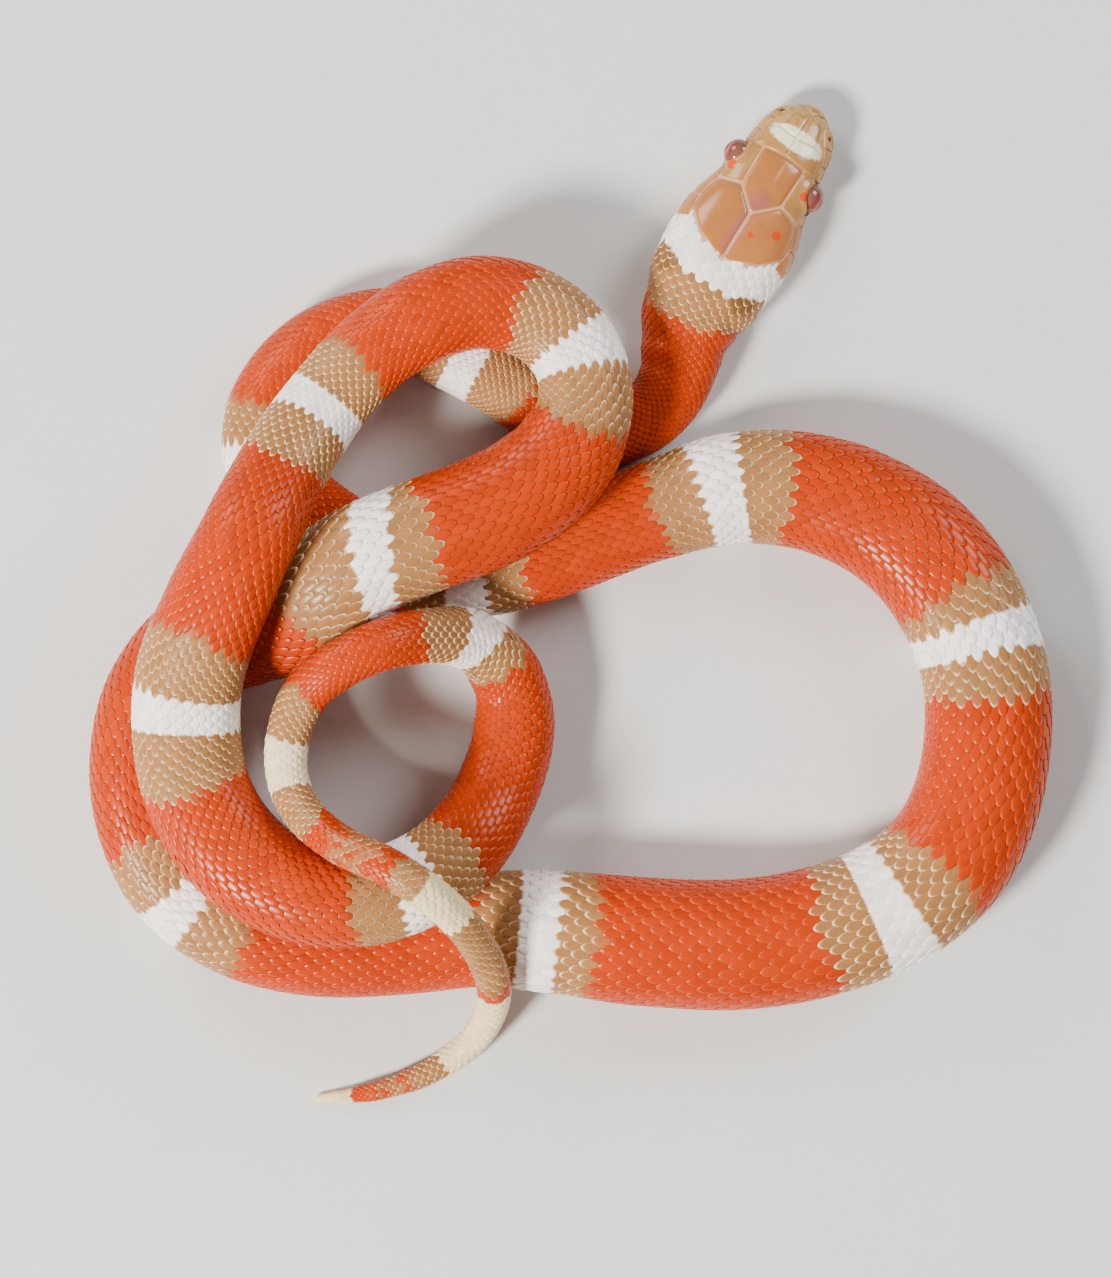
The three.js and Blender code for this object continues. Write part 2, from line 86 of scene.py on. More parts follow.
THROAT_END, VENT = 19.5, 457.0  # the belly scutes begin, and are in pairs from the vent
THROAT_START, THROAT_STEP, THROAT_LONG, THROAT_WIDE = 3.0, 1.3, 1.9, 0.25
CHIN_PLATES_END, CHIN_PLATES_REACH = 9.6, 2.3  # back from the snout, and to each side
SCUTE_REACH, TAIL_LAP = 1.1, 0.03  # shares of half the belly
SCUTE_BACK = np.array([0, 0.03, 0.3, 0.6, 0.9, 0.98, 1.0])
SCUTE_RISE, SCUTE_BASE, SCUTE_SINK = 0.21, 0.04, 0.12
TIP_LONG, TIP_AROUND, TIP_ROUND = 2.6, 24, 0.6  # the smooth end of the tail
TIP_RINGS = np.array([1, 0.93, 0.84, 0.72, 0.6, 0.46, 0.34, 0.24, 0.16, 0.1, 0.06, 0.035])

# The body from the back of the head, place by place: x, y as seen from
# above, the height of the belly over the floor, and the width there.
PLACES = [
    # the neck, flat on the floor
    (11.8, 28.5, 0, 10.2), (11.0, 25.3, 0, 8.5), (10.3, 22.3, 0, 7.6), (8.5, 19.5, 0, 7.2),
    (5.4, 17.6, 0, 7.3), (2.0, 17.0, 0, 7.4), (-1.3, 18.1, 0, 7.6), (-5.2, 21.2, 0, 7.8),
    (-11.9, 25.1, 0, 8.0), (-17.2, 27.4, 0, 8.2), (-22.2, 26.7, 0, 8.5), (-26.0, 24.7, 0, 8.7),
    (-28.7, 21.9, 0, 8.8), (-30.4, 18.5, 0, 8.9), (-30.5, 14.7, 0, 9.0), (-28.5, 10.6, 0, 9.1),
    (-24.4, 7.2, 0, 9.2), (-20.0, 4.5, 0, 9.3), (-14.2, 3.0, 0, 9.4), (-7.7, 3.5, 0, 9.6),
    (-1.2, 5.5, 0, 9.7), (5.8, 8.3, 0, 9.9), (10.0, 9.8, 0, 10.4),
    # the wide loop on the right
    (15.3, 11.3, 0, 11.3), (21.8, 11.4, 0, 11.8), (28.3, 9.6, 0, 12.2), (34.3, 5.8, 0, 12.6),
    (38.6, 0.3, 0, 12.8), (41.2, -6.5, 0, 12.8), (41.6, -13.2, 0, 12.8), (40.3, -20.2, 0, 12.9),
    (37.2, -25.9, 0, 13.0), (31.8, -30.2, 0, 13.2), (24.8, -32.9, 0, 13.2), (16.8, -34.2, 0, 13.2),
    (6.8, -33.9, 0, 13.0), (-2.2, -32.9, 0, 12.4), (-9.2, -32.7, 0, 11.6), (-17.2, -33.7, 0, 11.2),
    (-26.2, -33.9, 0, 11.0), (-33.7, -31.9, 0, 11.0), (-39.4, -27.7, 0, 10.8),
    (-42.4, -21.7, 0, 10.6), (-43.0, -15.2, 0, 10.6), (-41.4, -9.2, 0, 10.8),
    (-37.4, -4.5, 0, 11.2),
    # climbing over the first coil and turning back across the neck
    (-32.7, -2.7, 0.8, 11.6), (-28.4, -1.3, 3.8, 11.7), (-24.5, 1.7, 6.9, 11.7),
    (-20.8, 4.2, 7.8, 11.7), (-14.4, 6.8, 7.6, 11.7), (-9.2, 8.7, 7.2, 11.7),
    (-4.0, 11.6, 6.8, 11.5), (-0.6, 15.1, 6.6, 10.8), (1.3, 19.8, 6.5, 9.7), (0.4, 24.8, 5.9, 9.4),
    (-3.4, 28.6, 5.6, 9.4), (-9.2, 30.0, 6.2, 9.5), (-14.7, 28.5, 7.2, 9.3),
    (-19.7, 25.3, 7.4, 8.8), (-24.2, 20.5, 7.8, 8.7), (-28.5, 14.3, 10.2, 9.2),
    (-32.3, 6.8, 13.4, 10.0), (-35.9, -0.7, 12.0, 10.6), (-38.3, -7.2, 9.5, 11.0),
    (-38.6, -13.7, 8.2, 11.0), (-37.2, -19.9, 7.7, 10.9), (-33.4, -25.4, 7.8, 10.8),
    (-28.0, -28.8, 8.4, 10.3), (-22.0, -29.7, 8.7, 10.0), (-16.0, -28.2, 8.4, 9.7),
    (-10.9, -24.2, 6.4, 9.1), (-7.5, -18.7, 3.0, 8.6), (-5.8, -12.7, 1.6, 8.3),
    (-6.4, -7.7, 2.4, 7.4),
    # the tail, up over the coils and down again on the near side
    (-9.8, -3.9, 5.4, 6.4), (-14.3, -3.4, 9.8, 5.8), (-19.0, -4.3, 13.0, 5.4),
    (-23.1, -6.2, 13.2, 5.2), (-26.7, -9.2, 11.8, 5.0), (-28.5, -13.7, 11.2, 4.6),
    (-28.5, -17.7, 11.7, 4.4), (-26.9, -21.2, 13.1, 4.3), (-23.5, -24.2, 15.1, 4.2),
    (-18.7, -26.5, 16.8, 4.2), (-14.7, -29.0, 16.8, 4.1), (-11.4, -31.9, 14.6, 4.0),
    (-9.0, -35.2, 11.0, 3.9), (-7.9, -38.2, 8.6, 3.7), (-8.5, -41.7, 3.2, 3.4),
    (-10.9, -44.7, 0.3, 3.1), (-14.7, -47.1, 0, 2.7), (-19.2, -48.7, 0, 2.2),
    (-23.2, -49.4, 0, 1.5), (-25.7, -49.6, 0, 0.8),
]

# The head in its own frame: u back from the snout, then the value there
HALF_WIDTH = [
    (0, 0.9), (0.3, 1.75), (0.9, 2.6), (1.8, 3.3), (3.2, 3.85), (5.5, 4.2), (7.7, 4.45),
    (9.6, 4.85), (11, 5.3), (12.5, 5.8), (14.6, 6.2), (17, 6.4), (18.7, 6.3), (HEAD_LENGTH, 6.1),
]
CROWN = [
    (0, 3.0), (0.3, 3.45), (0.9, 3.95), (1.8, 4.4), (3.2, 4.9), (5.5, 5.6), (7.7, 6.15),
    (9.6, 6.5), (12.5, 7.0), (15, 7.35), (18, 7.6), (HEAD_LENGTH, 7.7),
]
CHIN = [
    (0, 1.5), (0.3, 1.05), (0.9, 0.6), (1.8, 0.25), (3.2, 0.06), (4.6, 0), (8, 0), (HEAD_LENGTH, 0),
]
WIDEST = [(0, 2.2), (1.8, 2.35), (5.5, 2.6), (10, 2.9), (15, 3.25), (HEAD_LENGTH, 3.5)]
MOUTH = [
    (-1, 1.75), (0, 1.6), (1.2, 1.35), (3, 1.45), (7, 1.75), (11, 2.05), (13.5, 2.4), (MOUTH_END, 2.85),
]

# The plates of the head. On top by u and v, on the right side, mirrored to
# the left; on the side by u and z.
PLATE_SEAM = 0.08
PLATE_BASE, PLATE_DOME, PLATE_SINK = 0.03, 0.13, 0.18  # heights over the skin
PLATE_RINGS = np.append(np.linspace(0, 1, 9)[1:-1] ** 0.8 * 0.96, [0.965, 1.0])  # shares of the outline
FRONTAL = [(5.75, 0), (6.0, 2.4), (10.4, 2.3), (12.6, 0), (10.4, -2.3), (6.0, -2.4)]
TOP_PLATES = [
    [(12.6, 0), (10.4, 2.3), (10.9, 4.5), (12.4, 5.2), (14.8, 5.3), (16.6, 3.4), (17.9, 0.3), (17.9, 0)],
    [(6.0, 2.4), (6.2, 3.6), (8.0, 4.6), (9.9, 4.7), (10.9, 4.5), (10.4, 2.3)],
    [(3.6, 0), (3.4, 2.1), (3.9, 3.3), (6.2, 3.6), (6.0, 2.4), (5.75, 0)],
    [(0.85, 0), (0.95, 1.5), (3.4, 2.1), (3.6, 0)],
]
# By v and z on the tip of the snout, and by u and v under the chin
ROSTRAL = [(2.0, 1.62), (1.9, 2.3), (1.1, 3.35), (0, 3.85), (-1.1, 3.35), (-1.9, 2.3), (-2.0, 1.62)]
MENTAL = [(0.75, -0.95), (0.75, 0.95), (2.0, 0)]
CHIN_PLATES = [
    [(2.2, 0.0), (2.6, 1.2), (5.6, 1.8), (6.1, 0.0)],
    [(6.2, 0.1), (5.75, 1.85), (8.6, 1.7), (8.9, 0.15)],
]
SIDE_PLATES = [
    [(0.85, 2.75), (1.0, 3.7), (1.7, 4.05), (2.8, 4.15), (2.75, 2.95), (1.4, 2.75)],
    [(2.75, 2.95), (2.8, 4.15), (3.9, 4.05), (4.5, 4.12), (4.55, 3.1)],
    [(4.55, 3.1), (4.5, 4.12), (5.2, 4.25), (6.2, 4.45), (6.15, 3.2)],
    [(9.45, 3.6), (9.6, 4.35), (10.85, 5.0), (10.7, 4.0)],
    [(9.35, 2.95), (9.45, 3.6), (10.7, 4.0), (11.0, 3.3)],
    [(10.7, 4.0), (10.9, 5.15), (12.4, 5.15), (13.5, 5.35), (13.6, 4.0), (11.0, 3.3)],
    [(13.6, 4.0), (13.5, 5.35), (14.8, 5.85), (16.0, 6.2), (16.2, 4.3), (14.9, 3.9)],
]
# Where the plates along the lips meet, and their heights over and under the mouth
LABIALS = (1.0, 2.7, 4.4, 6.1, 8.3, 10.7, 13.2, MOUTH_END)
LABIAL_TALL, UNDER_EYE_TALL, LABIAL_DEEP = 1.45, 1.0, 1.1
LIP_GAP, CHIN_GAP = 0.05, 0.2

# Where the scales begin behind the head plates, by share of the girth
PLATES_END = ((0, 0.1, 0.27, 0.42, 0.5, 0.72, 1.0), (17.9, 17.6, 16.3, 14.8, 15.9, 16.1, 15.0))

# The rings of colour along the body: the middle of each white band, half its
# length, the tan before and after it, and how far it slants back on the right
BANDS = [
    (55.2, 1.6, 5.8, 4.2, 0), (84.3, 1.9, 3.8, 3.8, 0), (107.9, 1.8, 4.2, 4.1, 0),
    (134.6, 2.1, 5.0, 4.7, -0.3), (166.3, 1.7, 4.0, 4.6, 0.5), (196.8, 2.0, 5.2, 4.9, 0),
    (231.9, 1.9, 4.2, 3.8, 0.2), (267.2, 1.6, 5.4, 5.3, 0.3), (317.2, 1.7, 7.0, 3.9, 1.8),
    (348.6, 1.8, 6.2, 6.1, 0), (380.3, 1.7, 5.4, 5.6, 0), (413.5, 1.8, 7.0, 6.4, 0.2),
    (447.4, 1.7, 4.3, 4.1, 0), (479.9, 1.8, 3.9, 5.0, 0.9), (506.7, 2.5, 5.8, 5.2, 0.2),
    (528.6, 2.6, 3.2, 10.0, 0), (548.9, 6.6, 0.0, 3.8, 0), (571.0, 5.4, 0.0, 0.0, 0),
]
MOTTLES = ((519, 4.5), (561.0, 4.5))  # middle and reach of the lengths where orange mixes with tan
WHITE_GROWS, TAN_NARROWS = 0.2, 0.4  # shares of a ring, from the spine to the belly
COLLAR, COLLAR_TAN = 20.7, 25.2  # where the white and the tan behind the head end
CREAM_REACH = (470, 520)  # where the white turns into cream
EDGE_SHARE = 0.45  # how far the edge of a white ring cuts across the scales


# Sums that come back in many shapes
def smooth(x, lo, hi):
    """0 below lo, 1 above hi, and 3t² - 2t³ between."""
    t = np.clip((x - lo) / (hi - lo), 0, 1)
    return t * t * (3 - 2 * t)


def mix(a, b, t):
    """a + (b - a) · t"""
    return a + (b - a) * t


def bell(x, centre, width):
    """exp(-((x - centre) / width)²)"""
    return np.exp(-(((x - centre) / width) ** 2))


def unit(vectors):
    """Each vector divided by its length."""
    return vectors / np.maximum(np.linalg.norm(vectors, axis=-1, keepdims=True), 1e-12)


def grid(rows, columns):
    """Two arrays, one that changes from row to row and one from column to column."""
    return np.meshgrid(rows, columns, indexing="ij")


def hermite(t, start, slope, end, end_slope):
    """A cubic from start to end with the slope that each is given: (2t³ - 3t² + 1) ·
    start + (t³ - 2t² + t) · slope + (3t² - 2t³) · end + (t³ - t²) · end slope."""
    return ((2 * t**3 - 3 * t**2 + 1) * start + (t**3 - 2 * t**2 + t) * slope
            + (3 * t**2 - 2 * t**3) * end + (t**3 - t**2) * end_slope)


def follow(pairs, at):
    """The value at a place: cubic Hermite between the pairs, where the slope at
    a pair is (next value - last value) / (next place - last place)."""
    places, values = np.array(pairs, float).T
    pair = np.arange(len(places))
    lo, hi = np.maximum(pair - 1, 0), np.minimum(pair + 1, len(places) - 1)
    slope = (values[hi] - values[lo]) / (places[hi] - places[lo])
    i = np.clip(np.searchsorted(places[1:-1], at), 0, len(places) - 2)
    wide = places[i + 1] - places[i]
    t = np.clip((at - places[i]) / wide, 0, 1)
    return hermite(t, values[i], slope[i] * wide, values[i + 1], slope[i + 1] * wide)


# The outside of the solids
def outline(angle, belly):
    """Across and up shares of a section: powers of cosine and sine give broad
    shoulders. Under the widest level it is the sine over BELLY_CUT, at most 1, to
    the power belly, which leaves the flat of the belly."""
    c, s = np.cos(angle), np.sin(angle)
    across = np.sign(c) * np.abs(c) ** np.where(s >= 0, SHOULDER, UNDERSIDE)
    down = -np.minimum(1, np.abs(s) / BELLY_CUT) ** belly
    return across, np.where(s >= 0, np.abs(s) ** CREST, down)


def route_knots():
    """The knots of the route as rows of x, y, level of the middle line, width and
    lift. The places are drawn as the eye sees them on the floor, so what is at a
    level is drawn in by 1 - level / VIEW."""
    knots = [(*(SNOUT - AHEAD * u), HEAD_LEVEL, HEAD_WIDE, 0) for u in HEAD_KNOTS]
    for x, y, lift, width in PLACES:
        level = lift + width * BODY_TALL * LEVEL
        near = 1 - level / VIEW
        knots.append((x * near, y * near, level, width * near, lift))
    return np.array(knots)


def curve(points):
    """A centripetal Catmull-Rom curve. A span counts as long as the square root of
    its length, d. The slope at a knot is the step before / d0 - both steps / (d0 +
    d1) + the step after / d1, and a cubic Hermite joins the knots."""
    ends = np.vstack([2 * points[0] - points[1], points, 2 * points[-1] - points[-2]])
    root = np.sqrt(np.linalg.norm(np.diff(ends, axis=0), axis=1))[:, None]
    before, start, end, after = ends[:-3], ends[1:-2], ends[2:-1], ends[3:]
    d0, d1, d2 = root[:-2], root[1:-1], root[2:]
    slope = ((start - before) / d0 - (end - before) / (d0 + d1) + (end - start) / d1) * d1
    end_slope = ((end - start) / d1 - (after - start) / (d1 + d2) + (after - end) / d2) * d1
    t = (np.arange(SAMPLES) / SAMPLES)[None, :, None]
    spans = hermite(t, start[:, None], slope[:, None], end[:, None], end_slope[:, None])
    return np.vstack([spans.reshape(-1, 3), points[-1:]])


def along_route():
    """The distance along the middle line, and there its point, the directions right
    and up of the section, its width and its height.

    Widths go from knot to knot by 3t² - 2t³. A section is square to the chord over
    CHORD, and at the nape to the head's own axis. Where both knots of a span lie on
    the floor, the section stands upright and rests on it."""
    knots = route_knots()
    centre = curve(knots[:, :3])
    share = smooth(np.arange(SAMPLES) / SAMPLES, 0, 1)
    width = np.append(mix(knots[:-1, 3:4], knots[1:, 3:4], share), knots[-1, 3])
    low = knots[:, 4] < 0.01
    resting = np.append(np.repeat(low[:-1] & low[1:], SAMPLES), True)
    place = np.concatenate([[0], np.cumsum(np.linalg.norm(np.diff(centre, axis=0), axis=1))])
    place += HEAD_LENGTH - place[(len(HEAD_KNOTS) - 1) * SAMPLES]
    past = place - HEAD_LENGTH
    tall = mix(NAPE_TALL, BODY_TALL, smooth(past, *NAPE_REACH))
    height = width * mix(tall, TAIL_TALL, smooth(past, *TAIL_REACH))
    ahead, behind = (np.stack([np.interp(place + way, place, column) for column in centre.T], axis=1)
                     for way in (-CHORD / 2, CHORD / 2))
    back = mix(np.array([*-AHEAD, 0]), unit(behind - ahead), smooth(past, 0, NECK_TURN)[:, None])
    back[resting, 2] = 0
    back = unit(back)
    right = unit(np.stack([-back[:, 1], back[:, 0], 0 * past], axis=1))
    centre[resting, 2] = height[resting] * LEVEL
    return place, np.column_stack([centre, right, np.cross(back, right), width, height])


ROUTE_Q, ROUTE = along_route()
TAIL_TIP = float(ROUTE_Q[-1]) - 0.02


def body_surface(q, angle, flat=FLAT):
    """A section of the body, laid across the middle line: centre + right · across ·
    width / 2 + up · share of the height over or under the widest level. What is
    less than flat over the floor lies on it."""
    at = np.stack([np.interp(q, ROUTE_Q, column) for column in ROUTE.T], axis=-1)
    centre, right, up, width, height = at[..., :3], at[..., 3:6], at[..., 6:9], at[..., 9], at[..., 10]
    across, over = outline(angle, BELLY_POWER)
    share = np.where(over >= 0, 1 - LEVEL, LEVEL)
    point = centre + right * (across * width / 2)[..., None] + up * (over * share * height)[..., None]
    point[..., 2] = np.where(point[..., 2] < flat, 0, point[..., 2])
    return point


def head_frame(point):
    """From u back, v right and z up of the head to the frame of the animal."""
    u, v = point[..., 0:1], point[..., 1:2]
    flat = SNOUT - u * AHEAD + v * np.array([AHEAD[1], -AHEAD[0]])
    return np.concatenate([flat, point[..., 2:3]], axis=-1)


def head_sizes(u):
    """Half the width, the widest level, the crown and the chin, from their lists."""
    return follow(HALF_WIDTH, u), follow(WIDEST, u), follow(CROWN, u), np.maximum(0, follow(CHIN, u))


def chin_power(u):
    """The belly's power in the outline of the head, which is rounder at the snout."""
    return mix(CHIN_POWER, BELLY_POWER, smooth(u, 0, 6))


def head_outline(u, angle):
    """A section of the head from its own outlines, with the brow over the eye
    as a bell along u times half a sine up the side."""
    half, widest, crown, chin = head_sizes(u)
    across, up = outline(angle, chin_power(u))
    over = np.where((up > 0.3) & (up < 0.98), np.sin(np.pi * (up - 0.3) / 0.68), 0)
    half = half + BROW_REACH * over * bell(u, BROW_U, BROW_LONG)
    z = widest + up * np.where(up >= 0, crown - widest, widest - chin)
    return np.stack([np.broadcast_to(u, z.shape), across * half, z], axis=-1)


def surface(q, angle, flat=FLAT):
    """The outside of the solids: the head's own sections up to its end, the
    body's after it, and a soft change over the last 2 mm of the head."""
    q, angle = np.broadcast_arrays(np.asarray(q, float), np.asarray(angle, float))
    body = body_surface(np.maximum(q, HEAD_LENGTH - 4), angle, flat)
    head = head_frame(head_outline(np.clip(q, 0, HEAD_LENGTH), angle))
    return mix(head, body, smooth(q, HEAD_LENGTH - 2, HEAD_LENGTH)[..., None])


def skin_frame(q, angle):
    """The point of the surface and its outward normal, which is the step round
    the body × the step back along it, both by small differences on sections that
    aren't flattened by the floor."""
    step, turn = 0.05, 0.004
    q = np.clip(q, 0.06, TAIL_TIP - 0.06)
    back = surface(q + step, angle, ROUND) - surface(q - step, angle, ROUND)
    around = surface(q, angle + turn, ROUND) - surface(q, angle - turn, ROUND)
    return surface(q, angle), unit(np.cross(around, back))


def skin_depth(q):
    """The skin lies deeper under the scales than under the plates of the head."""
    return mix(HEAD_DEPTH, SKIN_DEPTH, smooth(q, 15, 18))


def on_skin(q, angle, height, least=0.0):
    """A point at a height over the skin, and never lower than least."""
    point, normal = skin_frame(q, angle)
    point = point + normal * (height - skin_depth(q))[..., None]
    point[..., 2] = np.maximum(point[..., 2], least)
    return point


# Round the body by share of the girth: 0 on the spine, 1 at the right belly
# edge and -1 at the left one
def girth_table():
    """Angles from the spine down the right side, the length of the outline to each
    as a share of the length to the belly edge, and that length, for a width of 1."""
    angles = np.linspace(math.pi / 2, math.radians(-88), 600)
    across, up = outline(angles, BELLY_POWER)
    share = np.where(up[1:] >= 0, 1 - LEVEL, LEVEL)
    steps = np.hypot(np.diff(across) / 2, np.diff(up) * BODY_TALL * share)
    length = np.concatenate([[0], np.cumsum(steps)])
    edge = np.interp(-BELLY_EDGE, -angles, length)
    return angles, length / edge, edge


GIRTH_ANGLES, GIRTH, GIRTH_HALF = girth_table()


def angle_of(g):
    """The angle of a section at a share of the girth, mirrored to the left."""
    down = np.interp(np.abs(g), GIRTH, GIRTH_ANGLES)
    return math.pi / 2 - np.sign(g) * (math.pi / 2 - down)


def belly_share(angle):
    """The inverse of angle_of, past the belly edge as well."""
    down = np.mod(angle - math.pi / 2 + math.pi, 2 * math.pi) - math.pi
    share = np.interp(-(math.pi / 2 - np.abs(down)), -GIRTH_ANGLES, GIRTH)
    return -np.sign(down) * share


def under_angle(e):
    """The angle under the belly, for e from -1 at its left edge to 1 at its right."""
    return -math.pi / 2 + e * (math.pi / 2 + BELLY_EDGE)


def markings(q, root, side, angle, chance=0.5):
    """Masks of white, tan and cream, each 0.5 on its edge. White follows the place
    q, tan and cream the root of a scale, and both rings change over a millimetre.
    A ring is a window on the distance to the middle of its band: white grows by
    side² and tan narrows by side^1.5 towards the belly. The windows behind the
    head follow its plates, and chance mixes orange and tan in the mottles."""
    side, lean = np.minimum(side, BELLY_SIDE), np.cos(angle)
    white = np.full(np.broadcast(q, side, angle).shape, -1.0)
    tan = np.full(np.broadcast(root, side).shape, -1.0)
    for place, half, before, after, slant in BANDS:
        white = np.maximum(white, half * (1 + WHITE_GROWS * side**2) - np.abs(q - place - slant * lean))
        off = root - place
        reach = half + np.where(off < 0, before, after) * (1 - TAN_NARROWS * side**1.5)
        tan = np.maximum(tan, reach - np.abs(off))
    tan = np.maximum(tan, COLLAR_TAN - 5.0 * side**2 - root)
    collar = COLLAR - 1.7 * bell(side, 0.50, 0.18) - q
    white = np.maximum(white, np.where((q > 13) | (side > 1.2), collar, -1))
    tan = np.clip(tan + 0.5, 0, 1)
    for place, reach in MOTTLES:
        tan = np.maximum(tan, bell(root, place, reach) * (0.36 + 0.34 * chance))
    return np.clip(white + 0.5, 0, 1), tan, smooth(root, *CREAM_REACH)


# Meshes
def make_piece(name, corners, faces, values, maps, material):
    """A mesh from arrays: corners in millimetres, faces as blocks of rows of
    indices, values as attributes of the corners and maps as UVs, either one to
    a corner or as blocks like those of the faces."""
    mesh = bpy.data.meshes.new(name)
    loops = np.concatenate([block.ravel() for block in faces])
    sizes = np.concatenate([np.full(len(block), block.shape[1]) for block in faces])
    mesh.vertices.add(len(corners))
    mesh.vertices.foreach_set("co", (np.asarray(corners, np.float32) * MM).ravel())
    mesh.loops.add(len(loops))
    mesh.loops.foreach_set("vertex_index", loops.astype(np.int32))
    mesh.polygons.add(len(sizes))
    mesh.polygons.foreach_set("loop_start", (np.cumsum(sizes) - sizes).astype(np.int32))
    mesh.update(calc_edges=True)
    mesh.polygons.foreach_set("use_smooth", np.ones(len(sizes), bool))
    for key, column in values.items():
        layer = mesh.attributes.new(key, "FLOAT", "POINT")
        layer.data.foreach_set("value", column.astype(np.float32).ravel())
    for key, column in maps.items():
        blocks = column if isinstance(column, list) else [column[loops]]
        flat = np.concatenate([block.reshape(-1, 2) for block in blocks])
        mesh.uv_layers.new(name=key).data.foreach_set("uv", flat.astype(np.float32).ravel())
    piece = bpy.data.objects.new(name, mesh)
    bpy.context.scene.collection.objects.link(piece)
    mesh.materials.append(material)
    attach(piece, "root")
    return piece


def grid_faces(rows, columns):
    """The squares of a grid of corners, and one face round its rim that closes it."""
    index = np.arange(rows * columns).reshape(rows, columns)
    quads = np.stack([index[:-1, :-1], index[:-1, 1:], index[1:, 1:], index[1:, :-1]], axis=-1)
    rim = np.concatenate([index[0, :-1], index[:-1, -1], index[-1, :0:-1], index[:0:-1, 0]])
    return quads.reshape(-1, 4), rim[None, ::-1]


def tube_faces(rings, around):
    """The squares between rings of corners, and a fan at each end to a point. The
    two points come after the rings, that of the first ring before the other."""
    index = np.arange(rings * around).reshape(rings, around)
    ahead = np.roll(index, -1, axis=1)
    quads = np.stack([index[:-1], ahead[:-1], ahead[1:], index[1:]], axis=-1)
    first, last = np.full(around, index.size), np.full(around, index.size + 1)
    front = np.stack([first, ahead[0], index[0]], axis=-1)
    rear = np.stack([last, index[-1], ahead[-1]], axis=-1)
    return [quads.reshape(-1, 4), front, rear]


def make_scales(name, corners, faces, values, patch, material):
    """Many closed scales in one mesh. The faces of one are repeated for all, and
    values that come one to a scale or one to a corner are spread over them. The
    underside lies beside the top on the map."""
    count, each = patch.shape[:2]
    start = (np.arange(count) * each)[:, None, None]
    blocks = [(block[None] + start).reshape(-1, block.shape[1]) for block in faces]
    values = {key: np.broadcast_to(column, (count, each)) for key, column in values.items()}
    top, under = faces
    maps = {"OFBake": [patch[:, top], patch[:, under] + (PATCH_STEP, 0)]}
    make_piece(name, corners.reshape(-1, 3), blocks, values, maps, material)


# The map: the skin laid out flat in strips, the distance along it across the
# map and the way round it up each strip, with a margin round every strip
def strip_place(q):
    """Strips of the map up to a place, the last one nearly filled at the tail's end."""
    return np.clip(q / (TAIL_TIP + 0.5), 0, 0.9999) * STRIPS


def on_map(place, strip, turn):
    """The spot on the map in a strip, for a turn from 0 to 1 round the body."""
    across = 0.01 + 0.98 * np.clip(place - strip, 0, 1)
    return np.stack(np.broadcast_arrays(across, (strip + 0.03 + 0.94 * turn) / STRIPS), axis=-1)


def unwrap(q, angle):
    """The spot on the map of a place on the skin, in the strip that it falls in."""
    place = strip_place(q)
    turn = np.mod(angle - math.pi / 2, 2 * math.pi) / (2 * math.pi)
    return on_map(place, np.floor(place), turn)


# The scales
def scale_pattern():
    """Grid corners s, t in -1..1 go to the disc by x = s√(1 - t²/2), y = t√(1 -
    s²/2). The ring next to the edge keeps the full height and the edge is sunk."""
    t, s = grid(SCALE_GRID, SCALE_GRID)
    x, y = s * np.sqrt(1 - t * t / 2), t * np.sqrt(1 - s * s / 2)
    edge = np.maximum(np.abs(s), np.abs(t)) > 0.95
    return x.ravel(), y.ravel(), edge.ravel(), grid_faces(len(SCALE_GRID), len(SCALE_GRID))


def place_scales(name, q, g, long, wide, material, seed, at=angle_of, side=None, least=0.07):
    """Closed scales set on the skin: x runs back along the body and y round it,
    and its rear half is slimmer. The top rises from under the scale before to its
    rear edge by x, is crowned by 1 - y², droops by x² and is lower on short scales.
    The function at turns g into an angle. Colours read side in place of g where it
    is given."""
    x, y, edge, faces = scale_pattern()
    q, g, long, wide = (column[:, None] for column in (q, g, long, wide))
    side = np.abs(g) if side is None else np.full(g.shape, side)
    size = np.minimum(1, long / 2.0)
    rise = (SCALE_RISE * x + SCALE_CROWN * (1 - y * y) - SCALE_DROOP * x * x) * (0.4 + 0.6 * size)
    rise = rise + SCALE_BASE - np.where(edge, SCALE_SINK, 0) * (0.5 + 0.5 * size)
    slim = 1 - SCALE_SLIM * smooth(x, -0.2, 1)
    corners = on_skin(q + x * long / 2, at(g + y * slim * wide), rise, least + 0.03 * (1 - x))
    rng = np.random.default_rng(seed)
    tone = rng.random(q.shape)
    root = q + rng.uniform(-0.35, 0.35, q.shape)
    chance = rng.random(q.shape)
    white, tan, cream = markings(q + EDGE_SHARE * x * long / 2, root, side, at(g), chance)
    values = {"tone": tone, "tan": tan, "cream": cream, "side": side,
              "white": white, "along": x, "across": y}
    patch = np.stack([x, y], axis=-1) * PATCH / 2 + unwrap(q, at(g))
    make_scales(name, corners, faces, values, patch, material)


def row_table(q):
    """Centre, weight and width of every row of scales at q, in shares of the girth.
    Rows are wider low on the side. A row that ends weighs less and less, and the
    others take its room."""
    rows = np.arange(-(BODY_ROWS // 2), BODY_ROWS // 2 + 1)
    low = smooth(np.abs(rows) / (BODY_ROWS // 2), 0.6, 1.0)
    weight = np.ones((len(rows), len(q))) * (1 + 0.35 * low)[:, None]
    for place, dropped in ROW_DROPS:
        weight[np.isin(np.abs(rows), dropped)] *= 1 - smooth(q, place - 5, place + 5)
    total = weight.sum(axis=0)
    centre = 2 * (np.cumsum(weight, axis=0) - weight / 2) / total - 1
    return rows, centre, weight, 2 / total


